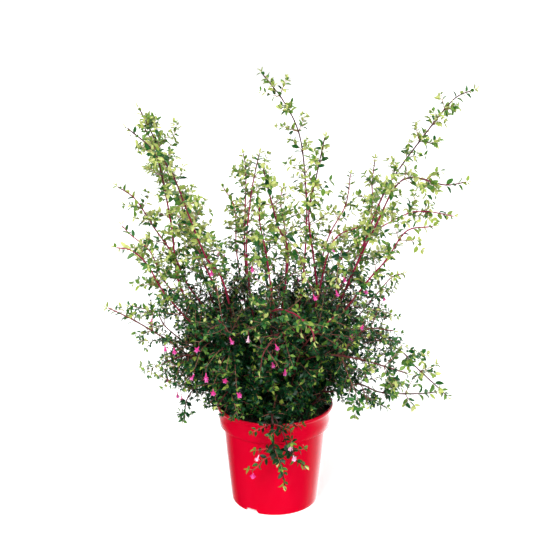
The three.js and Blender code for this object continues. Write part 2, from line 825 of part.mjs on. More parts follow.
function bloomHead(hook, top, turn) {
  const down = (depth) => top.clone().add(new THREE.Vector3(0, 0, -depth));
  const spot = (centre, radius, k) => centre.clone().add(new THREE.Vector3(
    radius * Math.cos(turn + 2 * Math.PI * k / SEPALS),
    radius * Math.sin(turn + 2 * Math.PI * k / SEPALS),
    0,
  ));
  const rings = [
    [hook, PEDICEL_RADIUS],
    [top, PEDICEL_RADIUS],
    [down(1.2), TUBE_RADIUS],
    [down(TUBE_LENGTH), MOUTH_RADIUS],
  ];
  const turns = Array.from({ length: SEPALS }, (_, k) => k);
  const corners = rings.flatMap(([centre, radius]) => turns.map((k) => spot(centre, radius, k)));
  const mouth = (rings.length - 1) * SEPALS;
  const tips = corners.length;
  corners.push(...turns.map((k) => spot(down(TUBE_LENGTH + SEPAL_DROP), SEPAL_REACH, k + 0.5)));
  const skirt = corners.length;
  corners.push(down(TUBE_LENGTH + SKIRT_DROP));
  const triangles = [[0, 1, 2], [0, 2, 3]];
  for (const k of turns) {
    const next = (k + 1) % SEPALS;
    for (let ring = 0; ring < mouth; ring += SEPALS) {
      triangles.push([ring + k, ring + k + SEPALS, ring + next + SEPALS]);
      triangles.push([ring + k, ring + next + SEPALS, ring + next]);
    }
    triangles.push([mouth + k, tips + k, mouth + next]);
    triangles.push([tips + k, skirt, mouth + next]);
    triangles.push([mouth + k, skirt, tips + k]);
  }
  return closedGeometry(corners, triangles);
}

function bloomCapsules(hook, top) {
  const foot = moved(top, new THREE.Vector3(0, 0, -1), TUBE_LENGTH + SEPAL_DROP / 2);
  return [
    { from: hook, to: top, radius: PEDICEL_RADIUS },
    { from: top, to: foot, radius: MOUTH_RADIUS },
    { from: foot, to: foot, radius: SEPAL_REACH },
  ];
}

// A twig arches out of the nearest cane, between two nodes, and is level where the blooms hang from it
function planTwig(canes, hook, part) {
  let nearest = { gap: Infinity };
  for (const cane of canes) {
    for (let i = cane.lead; i < cane.joints.length; i += 1) {
      const point = cane.joints[i - 1].clone().lerp(cane.joints[i], 0.5);
      const gap = point.distanceTo(hook) + Math.max(hook.z - point.z, 0);
      nearest = gap < nearest.gap ? { gap, point, parent: cane.part } : nearest;
    }
  }
  const level = hook.clone().sub(nearest.point).setZ(0).normalize();
  const end = moved(hook, level, -TWIG_HOOK);
  end.z += SHOOT_TIP_RADIUS * Math.SQRT1_2 + CLEARANCE;
  const run = end.clone().sub(nearest.point);
  const arch = moved(nearest.point, run, 0.55);
  arch.z += run.length() * TWIG_ARCH;
  return { part, parent: nearest.parent, points: [nearest.point, arch, end], level };
}

function growTwig(surface, twig) {
  const [root, arch, end] = twig.points;
  const frames = framesAlong(twig.points);
  const start = addRing(surface, root, frames[0], SHOOT_RADIUS);
  closeRing(surface, [...start].reverse());
  const middle = addRing(surface, arch, frames[1], SHOOT_RADIUS);
  bridge(surface, start, middle);
  const levelFrame = frameOf(twig.level, levelAcross(twig.level));
  const last = addRing(surface, end, levelFrame, SHOOT_TIP_RADIUS);
  bridge(surface, middle, last);
  growTipLeaf(surface, last, levelFrame);
}

function planBlooms([stemName, ...heads], i) {
  const part = `blooms_${String(i + 1).padStart(2, '0')}`;
  const hook = hookOf(heads);
  const stem = stems[stemName];
  const twig = planTwig(stem.canes, hook, `twig of ${part}`);
  stem.twigs.push(twig);
  const levelFrame = frameOf(twig.level, levelAcross(twig.level));
  placed.push(bodyOf(twig.part, [
    ...tubeCapsules(twig.points, SHOOT_RADIUS),
    ...leafCapsules(twig.points.at(-1), levelFrame),
  ]));
  tubeTops(heads).forEach((top) => placed.push(bodyOf(part, bloomCapsules(hook, top))));
  return { name: part, pieces: tubeTops(heads).map((top, k) => bloomHead(hook, top, i + k)) };
}

// Stems
function planStem([name, plan], stemNumber) {
  const canes = plan.canes.map((points, i) => (
    planCane(plan, points, i === 0, `${name} cane ${i}`, SEED + 10 * stemNumber + i)
  ));
  for (const cane of canes) {
    cane.joints.slice(1).forEach((joint, i) => (
      placed.push(bodyOf(cane.part, tubeCapsules([cane.joints[i], joint], cane.footRadius)))
    ));
    placed.push(bodyOf(cane.part, leafCapsules(cane.joints.at(-1), cane.frames.at(-1))));
  }
  return [name, { name, canes, twigs: [] }];
}

function buildStem(stem) {
  const growths = [
    ...stem.canes.map((cane) => [growCane, cane]),
    ...stem.twigs.map((twig) => [growTwig, twig]),
  ];
  return joined(growths.map(([grow, plan]) => {
    const surface = { corners: [], triangles: [] };
    grow(surface, plan);
    return closedGeometry(surface.corners, surface.triangles);
  }));
}

function namedMesh(name, body, look) {
  const material = new THREE.MeshStandardMaterial({ ...LOOKS[look], metalness: 0 });
  const piece = new THREE.Mesh(geometryOf(body), material);
  piece.name = name;
  return piece;
}

const stems = Object.fromEntries(Object.entries(STEMS).map(planStem));
const blooms = BLOOMS.map(planBlooms);

const group = new THREE.Group();
group.add(namedMesh('pot', buildPot(), 'pot'));
group.add(namedMesh('soil', buildSoil(), 'soil'));
Object.values(stems).forEach((stem) => group.add(namedMesh(`stem_${stem.name}`, buildStem(stem), 'stem')));
blooms.forEach((bloom) => group.add(namedMesh(bloom.name, joined(bloom.pieces), 'bloom')));

export default group;
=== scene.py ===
# A potted fuchsia of the small-leaved kind, dressed for rendering. The stems' plan and the rule for their
# shoots are the same as in the solids, so the canes, shoots and blooms lie where the solids are; every node
# has its full growth here, and the leaves, blooms, soil and pot are finer. The plan is in millimetres, and
# the meshes are in metres, +Z up, with the origin on the floor under the middle of the pot.

import functools
import random
from math import cos, hypot, inf, pi, radians, sin, sqrt
from types import SimpleNamespace

import bpy
import numpy as np
from mathutils import Matrix, Vector


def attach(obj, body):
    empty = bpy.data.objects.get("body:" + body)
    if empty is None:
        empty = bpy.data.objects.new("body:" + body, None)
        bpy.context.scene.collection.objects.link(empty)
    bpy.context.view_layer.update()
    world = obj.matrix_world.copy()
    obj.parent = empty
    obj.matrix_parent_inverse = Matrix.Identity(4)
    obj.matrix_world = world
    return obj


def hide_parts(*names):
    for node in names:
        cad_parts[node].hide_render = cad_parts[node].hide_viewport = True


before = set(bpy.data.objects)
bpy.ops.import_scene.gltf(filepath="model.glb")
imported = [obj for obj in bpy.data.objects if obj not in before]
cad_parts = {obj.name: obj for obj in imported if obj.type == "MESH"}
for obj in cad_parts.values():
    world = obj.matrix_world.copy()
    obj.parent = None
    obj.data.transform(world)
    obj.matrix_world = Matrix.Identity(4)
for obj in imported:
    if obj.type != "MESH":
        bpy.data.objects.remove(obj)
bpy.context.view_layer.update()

MM = 0.001
BODY = "root"

# Millimetres of wood or soil to one unit of the place map
PLACE_UNIT = 100

# Camera: its place in millimetres, its downward pitch in degrees, and its focal length in picture widths
CAMERA_PLACE = (2.8, -1342, 717)
CAMERA_PITCH = 14.2
FOCAL_WIDTHS = 877 / 553
SENSOR_WIDTH = 36

# Pot
RIM_RADIUS = 95
POT_HEIGHT = 167
BAND_TOP_RADIUS = 93.4
BAND_FOOT_RADIUS = 91
BAND_FOOT_Z = 133.5
WALL_TOP_RADIUS = 84.2
WALL_TOP_Z = 130
WALL_FOOT_RADIUS = 72.2
WALL_FOOT_Z = 6
WALL = 1.6
FLOOR_THICKNESS = 2.2
POT_SIDES = 144
POCKET_TURNS = (239, 359, 119)
POCKET_HEIGHT = 6.5
POCKET_WIDTH_BELOW = 25
POCKET_WIDTH_ABOVE = 16
POCKET_INNER_RADIUS = 55
DRAIN_RADIUS = 4
DRAIN_CENTRE = 62
SHARP_EDGE = 38
POT_CLEARANCE = 1.2

# Soil
SOIL_TOP = 154
SOIL_BUMP = 2
SOIL_CLEARANCE = 0.4
SOIL_RINGS = 44
SOIL_SIDES = 96
CRUMBS = 620
CRUMB_SIZES = (0.9, 3.4)
BARK_BITS = 70
BARK_SIZES = (2.5, 6)
LUMP_DENTS = 0.25
LUMP_RISE = 0.25
ROOT_DEPTH = 26

# Stems and canes
COLLAR_RISE = 7
TRUNK_RADIUS = 2.1
CANE_FOOT_RADIUS = 1.65
CANE_TIP_RADIUS = 0.95
SHORT_CANE_RADIUS = 0.95
LONG_CANE = 330
CANE_STEP = 6
CANE_SIDES = 8
NODE_SWELLING = 0.28
NODE_SWELLING_LENGTH = 3
TALLEST = 700
BARK_TONE_SPREAD = 0.04

# Nodes and side shoots: the same rule and the same draws as in the solids
SEED = 7
FIRST_NODE = 24
LAST_NODE = 30
LOW_SPACING = 42
TOP_SPACING = 28
KEPT_NODES = 3
SHOOT_SPREAD = 58
SHOOT_WANDER = 0.25
SHOOT_LIFTS = (-0.1, 0.4)
SHOOT_RANGE = (0.7, 1.2)
BUSH_CENTRE = (0, 0, 262)
BUSH_RADIUS = 175
BUSH_FLATNESS = 1.5
BUSH_SHOOT = 70
CANE_SHOOT = 46
TIP_SHOOT = 26
TRAIL_SHOOT = 36
TRAIL_RISE = 22
FACE_ORDER = (1, 2, 3, 0)
TWIG_ARCH = 0.16
TWIG_ARCH_PLACE = 0.55
TWIG_LEAF_SPACING = 8.84
TWIG_HOOK = 4
TWIG_END_RISE = 0.9

# What grows on a shoot: points and sides are those of a small shoot and of a full one. Leafiness is a
# stem's share of the usual growth, 1 where it isn't given
SHOOT_RADII = (0.7, 0.3)
SUB_SHOOT_RADII = (0.42, 0.25)
SHOOT_POINTS = (5, 7)
SHOOT_SIDES = (4, 6)
LEAF_SPACING = 6.8
SUNNY_LEAF_SPACING = 8.6
TRAIL_SPACING = 11
TIP_SPACING = 9
TIP_CROWDING = 0.6
SUB_SHOOT_LENGTHS = (14, 32)
SUB_SHOOT_SHARES = (1.1, 0.6)
SUB_SHOOT_SPREAD = 48
SUB_SHOOT_WANDERS = (-0.5, 0.5)
SUB_SHOOT_LIFT = 0.1
BUSH_BRANCHING = 0.5
CANE_BRANCHING = 0.28
LEAFINESS = {
    "left_tall": 1.2, "left_front": 1.2, "left_rear": 1.2, "left_low": 0.3, "left_arch": 0.4,
    "rear_left": 0.5, "front_middle": 0.6, "rear_middle": 0.3, "centre_tall": 0.6, "centre_front": 0.6,
    "rear_right": 0.5, "right_tall": 0.85, "right_low": 0.7, "right_arch": 0.7, "front_trail": 0,
}
SHOOT_BEND = 0.09
SHOOT_BEND_RANGE = (0.4, 1.4)
SHORTEST_SHOOT = 8
SHORTENING = 0.75
SHOOT_TONES = (0.15, 0.75)
# Painted light: a share of how lit a shoot's end is, added to its tone
SHOOT_TONE_BY_LIGHT = 0.3
SHOOT_WANDERS = (-0.8, 0.8)
END_PAIR_SIZE = 0.75
END_LEAF_SIZE = 0.7
OPEN_HEIGHT = 330

# Tufts at the nodes of a cane that stands in the light, more of them near its tip
TUFT_SHARES = (0.4, 0.85)
TUFT_SHOOTS = (12, 32)
TUFT_SPREADS = (38, 73)

# Longer side shoots on the leafiest canes, above the bush
SIDE_SHARE = 0.4
SIDE_SHOOTS = (40, 74)
SIDE_SPREAD = 42
SIDE_BRANCHING = 0.35

# Shoots that fill the bush between the nodes
FILLING_SPACING = 22
FILLING_SPREADS = (48, 78)
FILLING_SHOOTS = (30, 62)
FILLING_REACH = 165
FILLING_HEIGHT = 325

# Shoots that hang from the lowest canes on the left
HANGING_WIDTHS = (-147, -85)
HANGING_HEIGHTS = (165, 285)
HANGING_FULL_HEIGHT = 225
HANGING_SPACING = 15
HANGING_SHOOTS = (26, 50)
HANGING_BRANCHING = 0.3
HANGING_DROOP = 0.9
LEAST_HANGING = 0.45

# What grows on a trunk, under the fork
TRUNK_NODE_SPACING = 15
TRUNK_FIRST_RISE = 9
TRUNK_SHOOTS = (34, 60)
TRUNK_SHOOT_SPREADS = (58, 82)
TRUNK_WANDERS = (-0.6, 0.6)
TRUNK_SHOOT_LIFT = 0.05
TRUNK_SPACING_RANGE = (0.8, 1.2)
SHORTEST_TRUNK_SHOOT = 10
TRUNK_SHORTENING = 0.8
RIM_RISE = 8
RIM_MARGIN = 4
TRUNK_BRANCHING = 0.35

# Leaves: lengths at a shoot's foot and tip, sizes by the light, and outlines of (place, half width)
LEAF_LENGTHS = (14.5, 10)
LEAF_SIZES = ((0, 0.95), (0.06, 0.68), (0.4, 0.76), (0.7, 0.97))
TRAIL_LEAF_SIZE = 0.95
LOW_LEAF_SIZE = 1.05
LOW_LEAF_HEIGHT = 270
LEAF_WIDTH_SHARE = 0.51
LEAF_ANGLES = (42, 70)
LEAF_WANDERS = (-0.35, 0.35)
LEAF_TILTS = (-0.3, 0.12)
LEAF_FACING = 0.6
LEAF_ROLLS = (-0.6, 0.6)
LEAF_PITCHES = (-0.5, 0.5)
LEAF_SIZE_RANGE = (0.82, 1.16)
LEAF_WIDTH_RANGE = (0.85, 1.1)
FINE_LEAF = ((0, 0.05), (0.14, 0.12), (0.3, 0.84), (0.55, 1), (0.82, 0.66), (1, 0.05))
SHADED_LEAF = ((0, 0.05), (0.14, 0.14), (0.5, 1.05), (1, 0.06))
LEAF_FOLDS_AND_CURLS = ((0.16, 0.1), (0.3, 0.16), (0.22, 0.3), (0.1, -0.06), (0.36, 0.22))
PETIOLE_SHARE = 0.14
MIDRIB_WIDTH = 0.07
VEIN_PAIRS = 8
VEIN_SLANT = 2.2
VEIN_WIDTH = 0.16
VEIN_STRENGTH = 0.45

# Painted light and shade: how lit a point is, which makes leaves darker where the bush's shade falls and
# lighter in the light, and what makes a leaf's tone brighter
SHADE_SPANS = (142, 145, 100)
SUN_REACH = 2
SHADE_HEIGHT = 190
SUN_HEIGHT = 400
LOWEST_LIGHT = 0.8
PLAIN_LEAF_LIGHT = 0.3
DARKEST_TONE = 0.08
TONE_BY_LIGHT = 0.5
TONE_BY_YOUTH = 0.3
TONE_SPREAD = 0.12
BRIGHT_LEAVES = 0.22
BRIGHTENING = (0.3, 0.65)
SUNNY_SPREAD = 0.3
# Painted light on the low leaves on the bush's face, painted shade on the leaves that hang over the pot,
# and lighter young tips on those
LOW_BRIGHTENING = 0.25
TRAIL_SHADE = 0.5
TRAIL_TIP_BRIGHTENING = 0.3

# Blooms: (depth, radius) down the tube, (share of its length, radius) down the style, and (reach, drop,
# half width) along a petal
PEDICEL_RADIUS = 0.35
PEDICEL_LENGTH = 8
PEDICEL_OVERLAP = 0.6
PEDICEL_SAG = 0.3
TUBE_LENGTH = 6
TUBE_SIDES = 12
MOUTH_DEPTH = 0.4
TUBE = ((0, 0.4), (0.5, 0.85), (1.3, 0.95), (2, 0.7), (3, 0.935), (5, 1.32), (TUBE_LENGTH, 1.7))
SEPAL_REACH = 5
SEPAL_RISES = (-3, 0.8)
SEPAL_CUP = 0.25
PETAL_CUP = 0.45
SKIRT_DROP = 4
PETAL_ROWS = ((0.9, -0.2, 0.9), (1.6, 1.3, 1.5), (2.4, 2.7, 1.9), (3.2, SKIRT_DROP, 1.2))
SEPALS = 4
STYLE_LENGTH = 5
STYLE = ((0, 0.16), (0.35, 0.15), (0.7, 0.15), (0.92, 0.15), (0.96, 0.45), (1.08, 0.3))
BLOOM_TILT = 42
PALE_BUNCHES = (3, 26, 28)
PALE_TONES = (0.85, 1)
USUAL_TONES = (0.1, 0.6)

# Studio
FLOOR_REACH = 30000
BACKDROP_RADIUS = 20000
BACKDROP_RINGS = 24
BACKDROP_SIDES = 48
BACKDROP_GLOW = 1.05
FLOOR_GLOW = 0.48
WORLD_GLOW = 0.16
SIDE_GLOW = 2.2
BRIGHTEST_SIDE = (0.35, 1, 0)
CEILING_GLOW = 0.9

# Lamps: where each stands, in metres, its strength, and its width in degrees
LIT_POINT = (0, 0, 0.3)
LAMPS = {
    "above": ((0.3, 0.2, 4), 1.3, 100),
    "key": ((-1.2, -2.4, 2.6), 2.6, 24),
    "fill": ((1.6, -2.4, 1.5), 1.7, 30),
}

# Every stem: where it stands in the soil, where it divides, and the points of each of its canes
STEMS = {
    "left_tall": ((-34, 2), (-62, 5, 255),
        [(-95, 10, 355), (-120, 25, 410), (-145, 50, 490), (-170, 60, 540), (-195, 65, 595),
         (-215, 70, 635)],
        [(-135, 0, 360), (-155, -10, 410), (-185, -20, 460), (-210, -30, 505), (-235, -35, 525)]),
    "left_front": ((-50, -14), (-74, -22, 215),
        [(-145, -20, 360), (-155, -40, 460), (-165, -55, 540), (-175, -62, 580), (-210, -75, 615)],
        [(-95, -30, 225), (-135, -40, 195), (-145, -45, 155)]),
    "left_rear": ((-42, 24), (-80, 45, 260),
        [(-115, 60, 355), (-140, 95, 425), (-165, 125, 490), (-200, 150, 560), (-220, 160, 595)],
        [(-175, 70, 340), (-210, 100, 395), (-245, 120, 420), (-260, 125, 435)]),
    "front_left": ((-30, -26), (-50, -42, 225),
        [(-75, -60, 375), (-100, -80, 425), (-115, -110, 475), (-140, -140, 560)],
        [(-155, -80, 360), (-185, -100, 420), (-205, -115, 445), (-225, -120, 450)],
        [(-60, -85, 290), (-75, -125, 335), (-80, -145, 350)],
        [(-58, -80, 235), (-85, -135, 215)]),
    "left_arch": ((-50, -34), (-88, -50, 225),
        [(-155, -60, 285), (-180, -80, 310), (-210, -95, 335), (-245, -100, 355)],
        [(-120, -75, 270), (-145, -90, 275), (-170, -95, 265)]),
    "left_low": ((-57, 13), (-76, 22, 205),
        [(-175, 55, 270), (-200, 75, 295), (-245, 85, 305)],
        [(-100, 22, 215), (-140, 20, 210), (-175, 20, 195)]),
    "rear_left": ((-24, 38), (-42, 62, 270),
        [(-50, 80, 400), (-50, 110, 455), (-50, 170, 520), (-55, 190, 550)],
        [(-65, 130, 380), (-70, 170, 455), (-90, 190, 490)]),
    "middle_left": ((-16, 10), (-30, 20, 260),
        [(-45, 30, 400), (-40, 60, 485), (-30, 90, 540), (-25, 100, 560)]),
    "front_middle": ((2, -24), (4, -42, 285),
        [(20, -60, 425), (5, -90, 475), (-10, -125, 540), (-15, -140, 565)],
        [(-10, -110, 425), (-20, -150, 490), (-20, -165, 520)]),
    "rear_middle": ((4, 42), (10, 65, 250),
        [(20, 140, 390), (10, 180, 465), (15, 200, 490)],
        [(-12, 130, 320), (-20, 165, 370), (-25, 185, 385)]),
    "centre_tall": ((15, 8), (32, 14, 250),
        [(45, 20, 365), (50, 30, 440), (50, 35, 500), (40, 40, 590), (15, 40, 645), (-20, 35, 690)]),
    "centre_front": ((20, -12), (42, -24, 270),
        [(65, -30, 345), (60, -50, 410), (50, -75, 490), (60, -95, 550), (70, -110, 605)],
        [(60, -50, 330), (85, -70, 445), (125, -85, 475)]),
    "rear_right": ((26, 34), (45, 60, 240),
        [(75, 95, 365), (95, 150, 415), (125, 190, 460), (135, 220, 510)],
        [(85, 125, 300), (115, 160, 325), (130, 175, 325)]),
    "right_tall": ((36, 3), (72, 6, 270),
        [(125, 10, 380), (160, 20, 480), (185, 25, 530), (235, 30, 600), (275, 32, 650), (305, 32, 665)]),
    "right_front": ((42, -17), (80, -28, 290),
        [(120, -40, 395), (150, -60, 470), (175, -75, 530), (200, -80, 545), (245, -85, 535),
         (275, -90, 540)],
        [(140, -60, 385), (165, -85, 425), (190, -100, 470), (225, -115, 480)]),
    "right_rear": ((38, 20), (70, 36, 270),
        [(115, 70, 355), (155, 110, 420), (165, 130, 475), (165, 140, 505), (170, 150, 545)],
        [(95, 85, 360), (145, 115, 410), (220, 140, 450), (260, 150, 455), (310, 160, 445)]),
    "right_middle": ((52, 26), (88, 42, 235),
        [(175, 60, 340), (195, 80, 355), (215, 90, 360)],
        [(130, 55, 275), (160, 70, 290), (195, 85, 285)]),
    "right_low": ((58, 8), (80, 12, 205),
        [(115, 20, 260), (165, 20, 265), (205, 10, 250), (230, 0, 225), (280, -10, 180)],
        [(110, 35, 195), (155, 45, 155), (190, 50, 135)]),
    "right_arch": ((54, -30), (76, -42, 200),
        [(120, -50, 285), (145, -60, 310), (180, -70, 310)],
        [(95, -50, 205), (130, -60, 220), (165, -70, 210), (220, -75, 210), (250, -80, 215)]),
    "front_arch": ((20, -38), (26, -54, 215),
        [(36, -70, 255), (70, -110, 285), (120, -140, 290), (190, -160, 275)],
        [(40, -100, 290), (70, -130, 335), (85, -145, 355)]),
    "front_high": ((0, -46), (2, -78, 265),
        [(-5, -115, 350), (25, -160, 365), (50, -185, 350), (55, -195, 335)],
        [(15, -115, 315), (5, -150, 330), (-15, -170, 310), (-20, -175, 285)]),
    "front_trail": ((-6, -62), (-5, -86, 184),
        [(-3, -106, 175), (0, -112, 130), (10, -114, 110), (15, -114, 75)],
        [(10, -106, 165), (26, -114, 125), (45, -118, 110)]),
    "rear_low_left": ((-42, 46), (-62, 72, 210),
        [(-85, 100, 245), (-120, 135, 250), (-150, 150, 235)],
        [(-50, 110, 215), (-55, 150, 200), (-60, 170, 180)]),
    "rear_low_right": ((36, 52), (50, 80, 205),
        [(75, 110, 230), (110, 145, 215), (130, 165, 195)],
        [(30, 125, 240), (20, 170, 250), (15, 190, 240)]),
}

# Every bunch of blooms: the stem that carries it, and the middle of each bloom (x, y, z)
BLOOMS = [
    ("front_high", (1, -165, 316)),
    ("front_high", (-4, -150, 285)),
    ("front_high", (-37, -155, 325)),
    ("front_high", (15, -160, 277)),
    ("front_left", (-64, -150, 320)),
    ("front_left", (-55, -145, 234)),
    ("front_left", (-70, -150, 260)),
    ("front_left", (-90, -140, 238)),
    ("front_left", (-100, -135, 257), (-99, -148, 266)),
    ("front_left", (-119, -120, 254)),
    ("front_left", (-110, -130, 300)),
    ("left_arch", (-150, -100, 288), (-165, -90, 289)),
    ("left_front", (-171, -30, 217)),
    ("left_front", (-156, -30, 190), (-148, -38, 186)),
    ("left_tall", (-192, -30, 312)),
    ("front_left", (-92, -98, 408)),
    ("front_middle", (-33, -100, 414)),
    ("front_middle", (55, -130, 379)),
    ("centre_front", (89, -110, 380)),
    ("centre_front", (101, -90, 396)),
    ("right_front", (133, -80, 375)),
    ("right_front", (95, -35, 428)),
    ("right_front", (166, -45, 355)),
    ("front_arch", (113, -125, 317)),
    ("front_arch", (130, -110, 329)),
    ("front_trail", (23, -124, 141), (28, -130, 128)),
    ("front_trail", (-34, -112, 88)),
    ("front_trail", (-24, -112, 120)),
    ("rear_left", (-60, 150, 300), (-50, 156, 290)),
    ("rear_middle", (40, 165, 330), (50, 158, 322)),
    ("left_rear", (-120, 110, 290), (-128, 102, 282)),
    ("rear_right", (115, 120, 270), (122, 128, 262)),
    ("rear_low_right", (0, 178, 222), (10, 170, 214)),
    ("left_rear", (-95, 110, 390), (-86, 116, 382)),
]

UP = Vector((0, 0, 1))


def mix(a, b, share):
    return a + (b - a) * share


def clamp(value, low=0.0, high=1.0):
    return min(max(value, low), high)


def seeded_random(seed):
    """The draws that the solids are made with"""
    mask = 0xFFFFFFFF
    state = seed & mask

    def draw():
        nonlocal state
        state = (state + 0x6D2B79F5) & mask
        mixed = ((state ^ (state >> 15)) * (state | 1)) & mask
        mixed ^= (mixed + (((mixed ^ (mixed >> 7)) * (mixed | 61)) & mask)) & mask
        return (mixed ^ (mixed >> 14)) / 4294967296

    return draw


def square_to(along, direction):
    return (direction - along * direction.dot(along)).normalized()


def level_across(along):
    level = Vector((-along.y, along.x, 0))
    return Vector((1, 0, 0)) if level.length < 1e-3 else level.normalized()


# Meshes
class Draft:
    """A piece in the making: corners, faces of four corners each, and the marks that its materials read"""

    def __init__(self):
        self.blocks = []
        self.count = 0

    def add(self, corners, faces, slot, tones, places):
        corners = np.asarray(corners, float).reshape(-1, 3)
        tones = np.broadcast_to(tones, len(corners))
        slots = np.full(len(faces), slot)
        self.blocks.append((corners, np.asarray(faces) + self.count, slots, tones, np.asarray(places)))
        self.count += len(corners)


def link(name, data):
    thing = bpy.data.objects.new(name, data)
    bpy.context.scene.collection.objects.link(thing)
    return thing


def plain_piece(name, corners, faces):
    """A piece without marks for its material; corners are in millimetres here and in a draft"""
    mesh = bpy.data.meshes.new(name)
    mesh.from_pydata([tuple(MM * value for value in corner) for corner in corners], [], faces)
    mesh.update()
    return link(name, mesh)


def ring(radius, z, sides):
    turns = [2 * pi * k / sides for k in range(sides)]
    return [(radius * cos(turn), radius * sin(turn), z) for turn in turns]


def piece_from(draft, name, materials):
    """tone goes to the materials as an attribute, and the place on a leaf or tube as a UV map"""
    corners, faces, slots, tones, places = (np.concatenate(parts) for parts in zip(*draft.blocks))
    mesh = bpy.data.meshes.new(name)
    mesh.from_pydata((corners * MM).tolist(), [], faces.tolist())
    mesh.attributes.new("tone", "FLOAT", "POINT").data.foreach_set("value", tones.astype(np.float32))
    at_loops = np.empty(len(mesh.loops), np.int32)
    mesh.loops.foreach_get("vertex_index", at_loops)
    mesh.uv_layers.new(name="place").data.foreach_set("uv", places[at_loops].astype(np.float32).ravel())
    for material in materials:
        mesh.materials.append(material)
    mesh.polygons.foreach_set("material_index", slots.astype(np.int32))
    mesh.polygons.foreach_set("use_smooth", np.ones(len(faces), bool))
    mesh.update()
    return link(name, mesh)


def distances_along(points):
    steps = np.linalg.norm(np.diff(points, axis=0), axis=1)
    return np.concatenate([[0], np.cumsum(steps)])


@functools.lru_cache(maxsize=None)
def tube_faces(rings, sides):
    """The walls of a tube, and quads that close both of its ends"""
    faces = []
    for i in range(rings - 1):
        for k in range(sides):
            beside = (k + 1) % sides
            faces.append((i * sides + k, i * sides + beside, (i + 1) * sides + beside, (i + 1) * sides + k))
    last = (rings - 1) * sides
    for i in range(sides // 2 - 1):
        cap = ((sides - i) % sides, i + 1, i + 2, sides - 1 - i)
        faces.append(tuple(reversed(cap)))
        faces.append(tuple(last + corner for corner in cap))
    return faces


def add_tube(draft, points, radii, sides, slot, tones):
    points = np.asarray([tuple(point) for point in points], float)
    tangents = np.gradient(points, axis=0)
    tangents /= np.linalg.norm(tangents, axis=1)[:, None]
    turns = np.arange(sides) * 2 * pi / sides
    side = np.array(level_across(Vector(tangents[0])))
    rings = []
    for point, tangent, radius in zip(points, tangents, radii):
        side = side - tangent * side.dot(tangent)
        side /= np.linalg.norm(side)
        up = np.cross(tangent, side)
        rings.append(point + radius * (np.outer(np.cos(turns), side) + np.outer(np.sin(turns), up)))
    distances = np.repeat(distances_along(points) / PLACE_UNIT, sides)
    places = np.column_stack([distances, np.tile(turns / (2 * pi), len(points))])
    tones = np.repeat(np.broadcast_to(tones, len(points)), sides)
    draft.add(np.concatenate(rings), tube_faces(len(points), sides), slot, tones, places)


@functools.lru_cache(maxsize=None)
def sheet_faces(rows, columns):
    faces = []
    for i in range(rows - 1):
        for low in range(columns * i, columns * i + columns - 1):
            faces.append((low, low + columns, low + columns + 1, low + 1))
    return faces


@functools.lru_cache(maxsize=None)
def leaf_form(outline, fold, curl):
    """A leaf one unit long and two wide: folded up along its midrib, and curled down along its length"""
    corners = []
    places = []
    for row, half_width in outline:
        beyond = max(row - PETIOLE_SHARE, 0)
        for across in (-1, 0, 1):
            rise = abs(across) * half_width * fold * 0.5 - curl * beyond ** 2
            corners.append((row, across * half_width, rise))
            places.append((row, 0.5 + across / 2))
    return np.array(corners), sheet_faces(len(outline), 3), np.array(places)


def add_leaf(draft, chance, root, along, up_hint, length, tone):
    """A leaf grows unless it would run into the pot or the soil"""
    tip = root + along * length
    if not (clear_of_pot(tip) and clear_of_pot(root.lerp(tip, 0.5))):
        return
    upward = square_to(along, up_hint)
    sideways = upward.cross(along)
    outline = FINE_LEAF if sunlight(root) > PLAIN_LEAF_LIGHT else SHADED_LEAF
    corners, faces, places = leaf_form(outline, *chance.choice(LEAF_FOLDS_AND_CURLS))
    width = length * LEAF_WIDTH_SHARE * chance.uniform(*LEAF_WIDTH_RANGE) / 2
    turned = (
        corners[:, :1] * length * np.array(along)
        + corners[:, 1:2] * width * np.array(sideways)
        + corners[:, 2:] * length * np.array(upward)
    )
    draft.add(np.array(root) + turned, faces, LEAF, tone, places)


# Room round the pot, whose outline is given as (radius, z)
POT_OUTLINE = [
    (WALL_FOOT_RADIUS - 2.2, 0),
    (WALL_FOOT_RADIUS - 0.6, 1.2),
    (WALL_FOOT_RADIUS, WALL_FOOT_Z),
    (WALL_TOP_RADIUS, WALL_TOP_Z),
    (WALL_TOP_RADIUS + 1.3, BAND_FOOT_Z - 2),
    (BAND_FOOT_RADIUS, BAND_FOOT_Z),
    (BAND_TOP_RADIUS, POT_HEIGHT - 6),
    (RIM_RADIUS, POT_HEIGHT - 4),
    (RIM_RADIUS, POT_HEIGHT - 1),
    (RIM_RADIUS - 1, POT_HEIGHT),
]
OUTLINE_RADII, OUTLINE_HEIGHTS = zip(*POT_OUTLINE)


def clear_of_pot(point):
    reach = hypot(point.x, point.y)
    if point.z > POT_HEIGHT + POT_CLEARANCE:
        return True
    if point.z > SOIL_TOP + SOIL_BUMP + POT_CLEARANCE and reach < BAND_FOOT_RADIUS - POT_CLEARANCE:
        return True
    edge = np.interp(point.z + POT_CLEARANCE, OUTLINE_HEIGHTS, OUTLINE_RADII)
    return reach > edge + POT_CLEARANCE


# Materials
def new_material(name):
    material = bpy.data.materials.new(name)
    material.use_nodes = True
    return material, material.node_tree, material.node_tree.nodes["Principled BSDF"]


def feed(tree, node, inputs):
    """Gives each socket a value, or another node's socket to read"""
    for socket, value in inputs.items():
        if isinstance(value, bpy.types.NodeSocket):
            tree.links.new(value, node.inputs[socket])
        else:
            node.inputs[socket].default_value = value


def add_node(tree, kind, inputs, **settings):
    node = tree.nodes.new("ShaderNode" + kind)
    for setting, value in settings.items():
        setattr(node, setting, value)
    feed(tree, node, inputs)
    return node


def maths(tree, operation, *values):
    return add_node(tree, "Math", dict(enumerate(values)), operation=operation).outputs[0]


def ramp(tree, factor, stops):
    node = add_node(tree, "ValToRGB", {"Fac": factor})
    elements = node.color_ramp.elements
    while len(elements) < len(stops):
        elements.new(1)
    for element, (position, colour) in zip(elements, stops):
        element.position = position
        element.color = (*colour, 1)
    return node.outputs["Color"]


